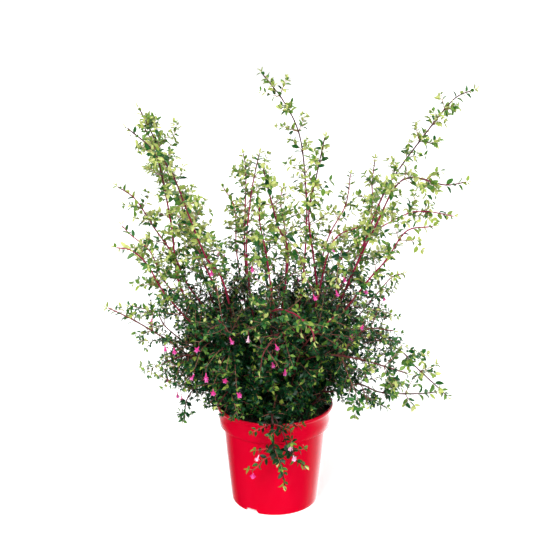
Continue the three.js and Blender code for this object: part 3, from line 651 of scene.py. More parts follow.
def noise(tree, scale, detail=3):
    place = add_node(tree, "TexCoord", {}).outputs["Object"]
    texture = add_node(tree, "TexNoise", {"Vector": place, "Scale": scale, "Detail": detail})
    return texture.outputs["Fac"]


def tinted(tree, colour, factor, amount):
    """A colour made lighter and darker by a factor that lies round one half"""
    value = maths(tree, "MULTIPLY_ADD", factor, 2 * amount, 1 - amount)
    node = add_node(tree, "HueSaturation", {"Color": colour, "Value": value})
    return node.outputs["Color"]


def relief(tree, height, strength, distance):
    inputs = {"Height": height, "Strength": strength, "Distance": distance}
    return add_node(tree, "Bump", inputs).outputs["Normal"]


def tone_of(tree):
    return add_node(tree, "Attribute", {}, attribute_name="tone").outputs["Fac"]


def leaf_veins(tree):
    """1 on the midrib and on the side veins, 0 between them"""
    place = add_node(tree, "UVMap", {}, uv_map="place").outputs["UV"]
    axes = add_node(tree, "SeparateXYZ", {"Vector": place}).outputs
    across = maths(tree, "ABSOLUTE", maths(tree, "MULTIPLY_ADD", axes["Y"], 2.0, -1.0))
    midrib = maths(tree, "LESS_THAN", across, MIDRIB_WIDTH)
    slant = maths(tree, "MULTIPLY_ADD", across, -VEIN_SLANT, maths(tree, "MULTIPLY", axes["X"], VEIN_PAIRS))
    side_veins = maths(tree, "LESS_THAN", maths(tree, "FRACT", slant), VEIN_WIDTH)
    return maths(tree, "MAXIMUM", midrib, maths(tree, "MULTIPLY", side_veins, VEIN_STRENGTH))


def leaf_material():
    material, tree, shader = new_material("leaf")
    # The tone carries painted shade: its dark end colours leaves deep in the bush's shade, its light end
    # leaves that are lit, young or brighter at random
    colour = ramp(tree, tone_of(tree), [
        (0.0, (0.001, 0.01, 0.004)),
        (0.25, (0.004, 0.052, 0.014)),
        (0.5, (0.025, 0.13, 0.022)),
        (0.72, (0.13, 0.25, 0.033)),
        (0.87, (0.33, 0.42, 0.07)),
        (1.0, (0.52, 0.57, 0.19)),
    ])
    veins = leaf_veins(tree)
    veined = add_node(tree, "HueSaturation", {
        "Color": tinted(tree, colour, noise(tree, 60), 0.35),
        "Value": maths(tree, "MULTIPLY_ADD", veins, 0.5, 1.0),
    }).outputs["Color"]
    feed(tree, shader, {
        "Base Color": veined,
        "Roughness": 0.28,
        "Specular IOR Level": 0.32,
        "Normal": relief(tree, veins, 0.35, 0.0002),
    })
    through = add_node(tree, "BsdfTranslucent", {"Color": veined})
    both = add_node(tree, "MixShader", {
        "Fac": 0.25, 1: shader.outputs["BSDF"], 2: through.outputs["BSDF"],
    })
    feed(tree, tree.nodes["Material Output"], {"Surface": both.outputs["Shader"]})
    return material


def grained_material(name, stops, grain, contrast, height, looks):
    """A colour that goes by the tone, and a grain that makes it uneven and stands up from it"""
    material, tree, shader = new_material(name)
    texture = noise(tree, *grain)
    feed(tree, shader, {
        "Base Color": tinted(tree, ramp(tree, tone_of(tree), stops), texture, contrast),
        "Normal": relief(tree, texture, *height),
        **looks,
    })
    return material


def bark_material():
    stops = [
        (0.0, (0.05, 0.012, 0.012)),
        (0.3, (0.13, 0.025, 0.025)),
        (0.43, (0.32, 0.006, 0.05)),
        (0.6, (0.24, 0.006, 0.045)),
        (0.75, (0.06, 0.005, 0.018)),
        (1.0, (0.09, 0.018, 0.022)),
    ]
    looks = {"Roughness": 0.45, "Specular IOR Level": 0.25}
    return grained_material("cane", stops, (180, 5), 0.4, (0.3, 0.0003), looks)


def shoot_material():
    stops = [(0.0, (0.06, 0.014, 0.014)), (0.5, (0.21, 0.065, 0.05)), (1.0, (0.38, 0.22, 0.13))]
    looks = {"Roughness": 0.5, "Specular IOR Level": 0.25}
    return grained_material("shoot", stops, (240, 3), 0.3, (0.2, 0.0002), looks)


def sepal_material():
    stops = [(0, (0.56, 0.003, 0.16)), (0.6, (0.74, 0.02, 0.3)), (1, (0.88, 0.5, 0.64))]
    looks = {"Roughness": 0.45, "Sheen Weight": 0.2}
    return grained_material("sepal", stops, (420, 4), 0.18, (0.2, 0.0002), looks)


def petal_material():
    stops = [(0, (0.55, 0.02, 0.28)), (0.6, (0.72, 0.12, 0.44)), (1, (0.9, 0.72, 0.8))]
    looks = {"Roughness": 0.5, "Sheen Weight": 0.2}
    return grained_material("petal", stops, (420, 4), 0.18, (0.2, 0.0002), looks)


def pot_material():
    material, tree, shader = new_material("red_plastic")
    reds = [(0.3, (0.5, 0.0002, 0.014)), (0.7, (0.54, 0.0003, 0.018))]
    feed(tree, shader, {
        "Base Color": ramp(tree, noise(tree, 14), reds),
        "Roughness": maths(tree, "MULTIPLY_ADD", noise(tree, 55, 6), 0.07, 0.05),
        "Normal": relief(tree, noise(tree, 420, 2), 0.03, 0.0002),
    })
    return material


def soil_material():
    material, tree, shader = new_material("compost")
    colour = ramp(tree, noise(tree, 160, 6), [
        (0.3, (0.008, 0.005, 0.003)),
        (0.55, (0.025, 0.015, 0.009)),
        (0.75, (0.08, 0.05, 0.03)),
    ])
    feed(tree, shader, {
        "Base Color": tinted(tree, colour, tone_of(tree), 0.5),
        "Roughness": 0.95,
        "Normal": relief(tree, noise(tree, 700, 4), 0.6, 0.0006),
    })
    return material


def floor_material():
    material, tree, shader = new_material("studio_floor")
    feed(tree, shader, {
        "Base Color": ramp(tree, noise(tree, 3), [(0.3, (0.9, 0.9, 0.9)), (0.7, (0.93, 0.93, 0.93))]),
        "Roughness": 0.9,
        "Specular IOR Level": 0,
        "Emission Color": (1, 1, 1, 1),
        "Emission Strength": FLOOR_GLOW,
    })
    return material


def backdrop_material():
    material, tree, _ = new_material("backdrop")
    glow = add_node(tree, "Emission", {"Color": (1, 1, 1, 1), "Strength": BACKDROP_GLOW})
    feed(tree, tree.nodes["Material Output"], {"Surface": glow.outputs["Emission"]})
    return material


BARK, SHOOT, LEAF = 0, 1, 2
PLANT_MATERIALS = [bark_material(), shoot_material(), leaf_material()]
STALK, SEPAL, PETAL = 0, 1, 2
BLOOM_MATERIALS = [PLANT_MATERIALS[SHOOT], sepal_material(), petal_material()]


# Paths
def curve_through(points, steps=20):
    """A smooth curve through the points, with its slope at each set by the two beside it"""
    first = points[0] * 2 - points[1]
    last = points[-1] * 2 - points[-2]
    padded = [first, *points, last]
    curve = []
    for a, b, c, d in zip(padded, padded[1:], padded[2:], padded[3:]):
        for i in range(steps):
            t = i / steps
            out, back = (c - a) / 2, (d - b) / 2
            curve.append(
                b * (2 * t ** 3 - 3 * t ** 2 + 1) + out * (t ** 3 - 2 * t ** 2 + t)
                + c * (3 * t ** 2 - 2 * t ** 3) + back * (t ** 3 - t ** 2)
            )
    return [*curve, points[-1].copy()]


class Path:
    """A line of close points that can be asked for its point and its frame at a distance along it"""

    def __init__(self, points):
        self.points = np.array([tuple(point) for point in points])
        self.distances = distances_along(self.points)
        self.length = self.distances[-1]
        side = None
        frames = []
        for tangent in np.gradient(self.points, axis=0):
            along = Vector(tangent).normalized()
            side = square_to(along, side or level_across(along))
            frames.append((tuple(along), tuple(side)))
        self.tangents, self.sides = (np.array(rows) for rows in zip(*frames))

    def read(self, rows, distance):
        return Vector([np.interp(distance, self.distances, rows[:, axis]) for axis in range(3)])

    def at(self, distance):
        return self.read(self.points, distance)

    def faces(self, distance):
        """The direction along the path, and the way out and the way across of each of its four faces"""
        along = self.read(self.tangents, distance).normalized()
        side = square_to(along, self.read(self.sides, distance))
        up = along.cross(side)
        return along, [(up, -side), (-side, -up), (-up, side), (side, up)]


def leaning(along, out, across, spread, wander=0.0, lift=0.0):
    spread = radians(spread)
    direction = along * cos(spread)
    direction += out * sin(spread) * cos(wander) + across * sin(spread) * sin(wander)
    direction.z += lift
    return direction.normalized()


def from_bush(point):
    """How far out of the bush's middle a point lies; the bush is wider than it is high"""
    x, y, z = point - Vector(BUSH_CENTRE)
    return Vector((x, y, z * BUSH_FLATNESS)).length


def overhanging(point):
    return point.z < POT_HEIGHT + TRAIL_RISE and hypot(point.x, point.y) > RIM_RADIUS


def sunlight(point):
    """How lit a point is: 0 within the bush, 1 well outside and above it. It paints shade into the tone of
    leaves and shoots, darker in the bush and low down, and also sets their size, outline, spacing and tufts
    """
    rise = clamp((point.z - SHADE_HEIGHT) / (SUN_HEIGHT - SHADE_HEIGHT))
    away = point - Vector(BUSH_CENTRE)
    reach = Vector([offset / span for offset, span in zip(away, SHADE_SPANS)]).length
    return clamp((reach - 1) / (SUN_REACH - 1)) * mix(LOWEST_LIGHT, 1, rise)


def leaf_size(point):
    """Large in the dark of the bush and on its low arches to the right, small on its face, full above it"""
    if overhanging(point):
        return TRAIL_LEAF_SIZE
    light = sunlight(point)
    if point.z < LOW_LEAF_HEIGHT and light > PLAIN_LEAF_LIGHT and point.x > 0:
        return LOW_LEAF_SIZE
    return float(np.interp(light, *zip(*LEAF_SIZES)))


# A leaf's tone: painted shade makes it darker deep in and low in the bush, painted light makes it lighter
# outside it; young leaves are lighter, and some leaves brighter at random
def leaf_tone(chance, point, youth):
    light = sunlight(point)
    bright = chance.uniform(*BRIGHTENING) if chance.random() < BRIGHT_LEAVES else 0
    # Painted shade on leaves that hang over the pot, whose young tips are lighter; painted light on the low
    # leaves on the bush's face
    if overhanging(point):
        light *= TRAIL_SHADE
        bright = TRAIL_TIP_BRIGHTENING * youth ** 3
    elif point.z < LOW_LEAF_HEIGHT and light > PLAIN_LEAF_LIGHT:
        light += LOW_BRIGHTENING
    own = chance.uniform(-TONE_SPREAD - SUNNY_SPREAD * light, TONE_SPREAD)
    painted_light_and_youth = DARKEST_TONE + TONE_BY_LIGHT * light + TONE_BY_YOUTH * youth * (0.3 + light)
    return clamp(painted_light_and_youth + bright + own)


# Growth
def add_leaf_pair(draft, chance, path, distance, turn, length, youth):
    """Two leaves that face each other across a shoot, turned by quarter turns from node to node"""
    root = path.at(distance)
    along, faces = path.faces(distance)
    for face in (turn % 4, (turn + 2) % 4):
        out, across = faces[face]
        spread = chance.uniform(*LEAF_ANGLES)
        direction = leaning(along, out, across, spread, chance.uniform(*LEAF_WANDERS))
        direction = (direction + UP * chance.uniform(*LEAF_TILTS)).normalized()
        hint = along * LEAF_FACING + UP * LEAF_FACING + across * chance.uniform(*LEAF_ROLLS)
        hint += out * chance.uniform(*LEAF_PITCHES)
        size = length * leaf_size(root) * chance.uniform(*LEAF_SIZE_RANGE)
        add_leaf(draft, chance, root, direction, hint, size, leaf_tone(chance, root, youth))


def bent_path(chance, start, direction, length, bend, points):
    across = square_to(direction, Vector([chance.uniform(-1, 1) for _ in range(3)]) + direction * 0.01)
    middle = start + direction * length * 0.5 + across * length * bend * chance.uniform(*SHOOT_BEND_RANGE)
    end = start + direction * length
    shares = [i / (points - 1) for i in range(points)]
    return Path([start.lerp(middle, t).lerp(middle.lerp(end, t), t) for t in shares])


def has_room(start, end):
    """Only what starts outside the pot hangs down past its rim"""
    return clear_of_pot(end) and (overhanging(start) or not overhanging(end))


def within_rim(point):
    return point.z > POT_HEIGHT + RIM_RISE or hypot(point.x, point.y) < RIM_RADIUS - RIM_MARGIN


def grow_shoot(draft, chance, start, direction, length, radii, branching, depth):
    """A shoot with pairs of leaves all along it, a tuft at its end, and smaller shoots from its nodes"""
    while length > SHORTEST_SHOOT and not has_room(start, start + direction * length):
        length *= SHORTENING
    path = bent_path(chance, start, direction, length, SHOOT_BEND, SHOOT_POINTS[depth])
    if not has_room(start, path.at(path.length)):
        return
    shares = path.distances / path.length
    # Painted light and shade: a shoot's tone is lighter the more lit its end is, and darker in the bush's
    # shade
    in_light = SHOOT_TONE_BY_LIGHT * sunlight(path.at(path.length))
    tones = [clamp(mix(*SHOOT_TONES, share) + in_light) for share in shares]
    add_tube(draft, path.points, mix(*radii, shares), SHOOT_SIDES[depth], SHOOT, tones)
    spacing = mix(LEAF_SPACING, SUNNY_LEAF_SPACING, min(1, 2 * sunlight(start)))
    count = max(2, round(path.length / spacing))
    turn = chance.randrange(2)
    for i in range(1, count + 1):
        share = i / count
        distance = path.length * share
        leaf_length = mix(*LEAF_LENGTHS, share)
        add_leaf_pair(draft, chance, path, distance, turn + i, leaf_length, share)
        if depth and i < count and chance.random() < branching:
            face = (turn + i + 2 * chance.randrange(2)) % 4
            wander = chance.uniform(*SUB_SHOOT_WANDERS)
            sub_length = chance.uniform(*SUB_SHOOT_LENGTHS) * mix(*SUB_SHOOT_SHARES, share)
            sprout(draft, chance, path, distance, SUB_SHOOT_SPREAD, face, wander, SUB_SHOOT_LIFT,
                   sub_length, SUB_SHOOT_RADII, 0, depth - 1)
    add_leaf_pair(draft, chance, path, path.length, turn + count + 1, LEAF_LENGTHS[1] * END_PAIR_SIZE, 1.0)
    tip_tone = leaf_tone(chance, path.at(path.length), 1.0)
    add_end_leaf(draft, chance, path, LEAF_LENGTHS[1] * END_LEAF_SIZE, tip_tone)


def add_end_leaf(draft, chance, path, length, tone):
    along, faces = path.faces(path.length)
    add_leaf(draft, chance, path.at(path.length), along, faces[0][0], length, tone)


def sprout(draft, chance, path, distance, spread, face, wander, lift, length, radii, branching, depth=1):
    """A shoot from one of the four faces of a cane"""
    along, faces = path.faces(distance)
    direction = leaning(along, *faces[face], spread, wander, lift)
    grow_shoot(draft, chance, path.at(distance), direction, length, radii, branching, depth)


# Canes
def nodes_of(path, seed):
    draw = seeded_random(seed)
    nodes = []
    distance = FIRST_NODE
    while distance < path.length - LAST_NODE:
        along = distance / path.length
        point = path.at(distance)
        in_bush = from_bush(point) < BUSH_RADIUS and not overhanging(point)
        usual = BUSH_SHOOT if in_bush else mix(CANE_SHOOT, TIP_SHOOT, along)
        usual = TRAIL_SHOOT if overhanging(point) else usual
        lengths = [share * usual for share in SHOOT_RANGE]
        ranges = [lengths, (-SHOOT_WANDER, SHOOT_WANDER), SHOOT_LIFTS]
        pair = [[mix(low, high, draw()) for low, high in ranges] for _ in range(2)]
        nodes.append((distance, along, in_bush, pair))
        distance += mix(LOW_SPACING, TOP_SPACING, along)
    return nodes


def plan_cane(foot, fork, points, is_main, leafiness, seed):
    """The trunk's points come before the fork; the joints are the ones that the solid's path has"""
    fork = Vector(fork)
    root = Vector((*foot, SOIL_TOP - ROOT_DEPTH))
    collar = Vector((*foot, SOIL_TOP + COLLAR_RISE))
    above = Path(curve_through([fork, *map(Vector, points)]))
    nodes = nodes_of(above, seed)
    trunk = curve_through([root, collar, fork]) if is_main else [fork]
    whole = Path([*trunk[:-1], *map(Vector, above.points)])
    trunk_length = whole.length - above.length
    foot_radius = TRUNK_RADIUS if is_main else CANE_FOOT_RADIUS
    kept = [distance for distance, *_ in nodes[::KEPT_NODES]]
    return SimpleNamespace(
        path=whole,
        nodes=nodes,
        places=[trunk_length + distance for distance, *_ in nodes],
        trunk_length=trunk_length,
        joints=[fork, *map(above.at, kept), above.at(above.length)],
        foot_radius=mix(SHORT_CANE_RADIUS, foot_radius, clamp(above.length / LONG_CANE)),
        leafiness=leafiness,
        seed=seed,
    )


def add_wood(draft, chance, cane):
    """A cane's round wood, which tapers to the tip and swells at each node"""
    path = cane.path
    steps = max(round(path.length / CANE_STEP), 8)
    points, radii, tones = [], [], []
    for distance in sorted([*np.linspace(0, path.length, steps), *cane.places]):
        nearest = min((abs(distance - place) for place in cane.places), default=inf)
        swelling = 1 + NODE_SWELLING * max(0, 1 - nearest / NODE_SWELLING_LENGTH)
        points.append(path.at(distance))
        radii.append(mix(cane.foot_radius, CANE_TIP_RADIUS, distance / path.length) * swelling)
        height = (points[-1].z - SOIL_TOP) / (TALLEST - SOIL_TOP)
        tones.append(clamp(height + chance.uniform(-BARK_TONE_SPREAD, BARK_TONE_SPREAD)))
    add_tube(draft, points, radii, CANE_SIDES, BARK, tones)


def grow_nodes(draft, chance, cane):
    """A pair of shoots and a pair of leaves at each node"""
    path = cane.path
    for i, ((_, share, in_bush, pair), place) in enumerate(zip(cane.nodes, cane.places)):
        turn = (FACE_ORDER[(i // KEPT_NODES) % 4] + i % KEPT_NODES) % 4
        branching = BUSH_BRANCHING if in_bush and path.at(place).z < OPEN_HEIGHT else CANE_BRANCHING
        branching *= min(1, cane.leafiness)
        for k, (length, wander, lift) in enumerate(pair):
            sprout(draft, chance, path, place, SHOOT_SPREAD, (turn + 2 * k) % 4, wander, lift, length,
                   SHOOT_RADII, branching)
        add_leaf_pair(draft, chance, path, place, turn + 1, LEAF_LENGTHS[0], share)


def grow_trunk_shoots(draft, chance, cane):
    """Short leafy shoots between the soil and the fork, which stop at the pot's rim"""
    path = cane.path
    distance = ROOT_DEPTH + TRUNK_FIRST_RISE
    turn = chance.randrange(4)
    while distance < cane.trunk_length:
        along, faces = path.faces(distance)
        for k in (0, 2):
            spread = chance.uniform(*TRUNK_SHOOT_SPREADS)
            wander = chance.uniform(*TRUNK_WANDERS)
            direction = leaning(along, *faces[(turn + k) % 4], spread, wander, TRUNK_SHOOT_LIFT)
            length = chance.uniform(*TRUNK_SHOOTS)
            start = path.at(distance)
            while length > SHORTEST_TRUNK_SHOOT and not within_rim(start + direction * length):
                length *= TRUNK_SHORTENING
            grow_shoot(draft, chance, start, direction, length, SHOOT_RADII, TRUNK_BRANCHING, 1)
        turn += 1
        distance += TRUNK_NODE_SPACING * chance.uniform(*TRUNK_SPACING_RANGE)


def grow_filling(draft, chance, cane):
    path = cane.path
    for distance in np.arange(cane.trunk_length, path.length - LAST_NODE, FILLING_SPACING):
        point = path.at(distance)
        if point.z < FILLING_HEIGHT and from_bush(point) < FILLING_REACH and not overhanging(point):
            spread = chance.uniform(*FILLING_SPREADS)
            face = chance.randrange(4)
            sprout(draft, chance, path, distance, spread, face, chance.uniform(*SHOOT_WANDERS), 0,
                   chance.uniform(*FILLING_SHOOTS), SHOOT_RADII, BUSH_BRANCHING)


def grow_tufts(draft, chance, cane):
    """Short shoots all round the nodes, and on the leafiest canes a longer one here and there"""
    path = cane.path
    for place in cane.places:
        point = path.at(place)
        tufted = mix(*TUFT_SHARES, (place / path.length) ** 4) * cane.leafiness
        for face in range(4):
            if sunlight(point) > PLAIN_LEAF_LIGHT and chance.random() < tufted:
                spread = chance.uniform(*TUFT_SPREADS)
                wander = chance.uniform(*SHOOT_WANDERS)
                sprout(draft, chance, path, place, spread, face, wander, SUB_SHOOT_LIFT,
                       chance.uniform(*TUFT_SHOOTS), SUB_SHOOT_RADII, 0, 0)
        if cane.leafiness > 1 and chance.random() < SIDE_SHARE and point.z > OPEN_HEIGHT:
            face = chance.randrange(4)
            wander = chance.uniform(*SHOOT_WANDERS)
            sprout(draft, chance, path, place, SIDE_SPREAD, face, wander, SUB_SHOOT_LIFT,
                   chance.uniform(*SIDE_SHOOTS), SHOOT_RADII, SIDE_BRANCHING)


def grow_tip(draft, chance, cane):
    """Leaves along what overhangs the pot, and close together at the tip"""
    path = cane.path
    for i, distance in enumerate(np.arange(cane.trunk_length, path.length - LAST_NODE, TRAIL_SPACING)):
        if overhanging(path.at(distance)):
            add_leaf_pair(draft, chance, path, distance, i, LEAF_LENGTHS[0], 0.2)
    distance = path.length - LAST_NODE
    turn = 0
    while distance < path.length + 1:
        share = clamp((distance - path.length + LAST_NODE) / LAST_NODE)
        add_leaf_pair(draft, chance, path, distance, turn, mix(*LEAF_LENGTHS, share), 0.5 + share / 2)
        distance += TIP_SPACING * mix(1, TIP_CROWDING, share)
        turn += 1
    add_end_leaf(draft, chance, path, LEAF_LENGTHS[1], 1.0)


def grow_hanging_shoots(draft, chance, cane):
    path = cane.path
    lowest, highest = HANGING_HEIGHTS
    for distance in np.arange(cane.trunk_length, path.length, HANGING_SPACING):
        point = path.at(distance)
        if HANGING_WIDTHS[0] < point.x < HANGING_WIDTHS[1] and lowest < point.z < highest:
            along, faces = path.faces(distance)
            way = leaning(along, *faces[chance.randrange(4)], SHOOT_SPREAD, chance.uniform(*SHOOT_WANDERS))
            way = (way - UP * HANGING_DROOP).normalized()
            fullness = clamp((point.z - lowest) / (HANGING_FULL_HEIGHT - lowest), LEAST_HANGING)
            length = chance.uniform(*HANGING_SHOOTS) * fullness
            grow_shoot(draft, chance, point, way, length, SHOOT_RADII, HANGING_BRANCHING * fullness, 1)


def grow_cane(draft, cane):
    chance = random.Random(cane.seed)
    add_wood(draft, chance, cane)
    grow_nodes(draft, chance, cane)
    grow_trunk_shoots(draft, chance, cane)
    grow_filling(draft, chance, cane)
    grow_tufts(draft, chance, cane)
    grow_tip(draft, chance, cane)
    grow_hanging_shoots(draft, chance, cane)


# Blooms
def tube_tops(heads):
    return [Vector(head) + UP * (TUBE_LENGTH + SKIRT_DROP) / 2 for head in heads]


def hook_of(heads):
    tops = tube_tops(heads)
    hook = sum(tops, Vector()) / len(tops)
    hook.z = max(top.z for top in tops) + PEDICEL_LENGTH
    return hook


def plan_twig(canes, hook):
    """A twig arches out of the nearest cane, between two joints, and is level where the blooms hang"""
    nearest, nearest_gap = None, inf
    for cane in canes:
        for low, high in zip(cane.joints, cane.joints[1:]):
            point = low.lerp(high, 0.5)
            gap = (point - hook).length + max(hook.z - point.z, 0)
            if gap < nearest_gap:
                nearest, nearest_gap = point, gap
    level = Vector((hook.x - nearest.x, hook.y - nearest.y, 0)).normalized()
    end = hook - level * TWIG_HOOK
    end.z += TWIG_END_RISE
    run = end - nearest
    arch = nearest + run * TWIG_ARCH_PLACE
    arch.z += run.length * TWIG_ARCH
    return Path(curve_through([nearest, arch, end, hook + level * TWIG_HOOK], steps=8))


def grow_twig(draft, path, seed):
    chance = random.Random(seed)
    shares = path.distances / path.length
    add_tube(draft, path.points, mix(*SHOOT_RADII, shares), SHOOT_SIDES[1], SHOOT, 0.3 + 0.5 * shares)
    count = max(2, round(path.length / TWIG_LEAF_SPACING))
    for i in range(1, count + 1):
        share = i / count
        add_leaf_pair(draft, chance, path, path.length * share, i, mix(*LEAF_LENGTHS, share), share)
    add_end_leaf(draft, chance, path, LEAF_LENGTHS[1], 0.8)


def add_blade(draft, mouth, out, down, rows, slot, tone, cup):
    """A sepal or petal: rows of (reach, drop, half width) from the mouth, cupped across its width"""
    across = down.cross(out)
    corners, places = [], []
    for i, (reach, drop, half_width) in enumerate(rows):
        middle = mouth + out * reach + down * drop
        for side in (-1, -0.5, 0, 0.5, 1):
            inward = out * (-cup * half_width * side ** 2)
            corners.append(middle + across * half_width * side + inward)
            places.append((i / (len(rows) - 1), 0.5 + side / 2))
    faces = [(a, d, c, b) for a, b, c, d in sheet_faces(len(rows), 5)]
    draft.add([tuple(corner) for corner in corners], faces, slot, tone, places)


def sepal_rows(rise):
    return [
        (1.2, -0.3, 1.1),
        (2.2, 0.1, 1.8),
        (3.4, 0.3 - 0.3 * rise, 1.7),
        (4.4, 0.3 - 0.7 * rise, 0.95),
        (SEPAL_REACH, -rise, 0.05),
    ]


def add_bloom(draft, chance, hook, top, turn, tone):
    """A pedicel and a tube that leans off the plumb line, with open sepals, a short skirt and a style"""
    lean = radians(chance.uniform(0, BLOOM_TILT))
    heading = chance.uniform(0, 2 * pi)
    sideways = Vector((cos(heading), sin(heading), 0))
    down = sideways * sin(lean) - UP * cos(lean)
    right = level_across(sideways)
    ahead = down.cross(right)
    sag = Vector((top.x - hook.x, top.y - hook.y, 0)) * PEDICEL_SAG
    pedicel = curve_through([hook + UP * PEDICEL_OVERLAP, hook.lerp(top, 0.5) + sag, top], steps=5)
    add_tube(draft, pedicel, np.full(len(pedicel), PEDICEL_RADIUS), 6, STALK, 0.4)
    tube = [top + down * depth for depth, _ in TUBE]
    add_tube(draft, tube, [radius for _, radius in TUBE], TUBE_SIDES, SEPAL, tone)
    mouth = top + down * (TUBE_LENGTH - MOUTH_DEPTH)
    for k in range(SEPALS):
        angle = turn + 2 * pi * (k + 0.5) / SEPALS
        out = right * cos(angle) + ahead * sin(angle)
        sepal = sepal_rows(chance.uniform(*SEPAL_RISES))
        add_blade(draft, mouth, out, down, sepal, SEPAL, tone, SEPAL_CUP)
        angle += pi / SEPALS
        out = right * cos(angle) + ahead * sin(angle)
        add_blade(draft, mouth, out, down, PETAL_ROWS, PETAL, tone, PETAL_CUP)
    style = [mouth + down * STYLE_LENGTH * share for share, _ in STYLE]
    add_tube(draft, style, [radius for _, radius in STYLE], 6, PETAL, 0.9)


def build_bunch(number, stem, canes, heads):
    """A twig that belongs to its stem, and the blooms that hang from it"""
    hook = hook_of(heads)
    grow_twig(stem, plan_twig(canes, hook), SEED + number)
    draft = Draft()
    chance = random.Random(SEED + 100 * number)
    for k, top in enumerate(tube_tops(heads)):
        tone = chance.uniform(*(PALE_TONES if number in PALE_BUNCHES else USUAL_TONES))
        add_bloom(draft, chance, hook, top, number - 1 + k, tone)
    bunch = piece_from(draft, f"bunch_{number:02d}", BLOOM_MATERIALS)
    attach(bunch, BODY)
    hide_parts(f"blooms_{number:02d}")


def build_plant():
    """Every stem with its twigs is a piece, and so is every bunch of blooms"""
    drafts = {name: Draft() for name in STEMS}
    canes = {name: [] for name in STEMS}
    for number, (name, (foot, fork, *lines)) in enumerate(STEMS.items()):
        for i, points in enumerate(lines):
            seed = SEED + 10 * number + i
            canes[name].append(plan_cane(foot, fork, points, i == 0, LEAFINESS.get(name, 1), seed))
            grow_cane(drafts[name], canes[name][-1])
    for number, (name, *heads) in enumerate(BLOOMS, start=1):
        build_bunch(number, drafts[name], canes[name], heads)
    for name, draft in drafts.items():
        stem = piece_from(draft, f"leafy_{name}", PLANT_MATERIALS)
        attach(stem, BODY)
        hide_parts(f"stem_{name}")


# Pot
def lathe(name, profile, sides):
    """A turned mesh whose profile starts and ends on the axis"""
    corners = [(0, 0, profile[0][1]), (0, 0, profile[-1][1])]
    for radius, z in profile[1:-1]:
        corners += ring(radius, z, sides)
    last = len(corners) - sides
    faces = []
    for k in range(sides):
        beside = (k + 1) % sides
        faces.append((0, 2 + beside, 2 + k))
        faces.append((1, last + k, last + beside))
        for low in range(2, last, sides):
            high = low + sides
            faces.append((low + k, low + beside, high + beside, high + k))
    return plain_piece(name, corners, faces)


def shifted(corner, offsets):
    return [(corner[0] + out, corner[1] + up) for out, up in offsets]


def pot_profile():
    """Floor, outer wall with its band, rolled lip, and the lining down to the floor again"""
    foot = (WALL_FOOT_RADIUS, WALL_FOOT_Z)
    shoulder = (WALL_TOP_RADIUS, WALL_TOP_Z)
    band_foot = (BAND_FOOT_RADIUS, BAND_FOOT_Z)
    band_top = (BAND_TOP_RADIUS, POT_HEIGHT - 6)
    lip = [(-0.3, -4.6), (0, -4), (0.15, -2.5), (0, -1.1), (-0.5, -0.3), (-1.3, 0), (-2.5, 0), (-3.3, -0.4)]
    return [
        (0, 0),
        *shifted(foot, [(-2.2, -6), (-1.2, -5.7), (-0.6, -4.8), (0, 0)]),
        *(tuple(mix(low, high, share) for low, high in zip(foot, shoulder)) for share in (0.33, 0.66)),
        *shifted(shoulder, [(0, 0), (0.5, 1.8), (1.6, 1.9)]),
        *shifted(band_foot, [(-0.9, -0.6), (0, 0.4)]),
        tuple(mix(low, high, 0.5) for low, high in zip(band_foot, band_top)),
        *shifted(band_top, [(-0.3, -1), (0.5, 0.4)]),
        *shifted((RIM_RADIUS, POT_HEIGHT), lip),
        *shifted(band_top, [(-WALL, 4.4), (-WALL, 0)]),
        *shifted(band_foot, [(-WALL, 1.6)]),
        *shifted(shoulder, [(1.2 - WALL, 2.9), (-WALL, 0)]),
        *shifted(foot, [(-WALL, 0), (-WALL - 1.2, FLOOR_THICKNESS - WALL_FOOT_Z)]),
        (0, FLOOR_THICKNESS),
    ]


def wedge(name, turn, painted_light_and_youth, inner_radius, outer_radius):
    """A wedge across the pot's foot: a pocket or, grown by a wall's thickness, the walls round it"""
    below = FLOOR_THICKNESS / 2 if painted_light_and_youth else -1
    section = [
        (-POCKET_WIDTH_BELOW / 2 - painted_light_and_youth, below),
        (POCKET_WIDTH_BELOW / 2 + painted_light_and_youth, below),
        (POCKET_WIDTH_ABOVE / 2 + painted_light_and_youth, POCKET_HEIGHT + painted_light_and_youth),
        (-POCKET_WIDTH_ABOVE / 2 - painted_light_and_youth, POCKET_HEIGHT + painted_light_and_youth),
    ]
    corners = [(reach, across, z) for reach in (inner_radius, outer_radius) for across, z in section]
    faces = [(3, 2, 1, 0), (4, 5, 6, 7), (0, 1, 5, 4), (1, 2, 6, 5), (2, 3, 7, 6), (3, 0, 4, 7)]
    tool = plain_piece(name, corners, faces)
    tool.data.transform(Matrix.Rotation(radians(turn), 4, "Z"))
    return tool


def drain(name, turn):
    profile = [(0, -1), (DRAIN_RADIUS, -1), (DRAIN_RADIUS, 3 * POCKET_HEIGHT), (0, 3 * POCKET_HEIGHT)]
    tool = lathe(name, profile, 24)
    tool.data.transform(Matrix.Translation((DRAIN_CENTRE * MM, 0, 0)))
    tool.data.transform(Matrix.Rotation(radians(turn), 4, "Z"))
    return tool


def combine(piece, tool, operation):
    modifier = piece.modifiers.new("combine", "BOOLEAN")
    modifier.operation = operation
    modifier.object = tool
    modifier.solver = "EXACT"
    depsgraph = bpy.context.evaluated_depsgraph_get()
    mesh = bpy.data.meshes.new_from_object(piece.evaluated_get(depsgraph))
    piece.modifiers.clear()
    piece.data = mesh
    bpy.data.objects.remove(tool)


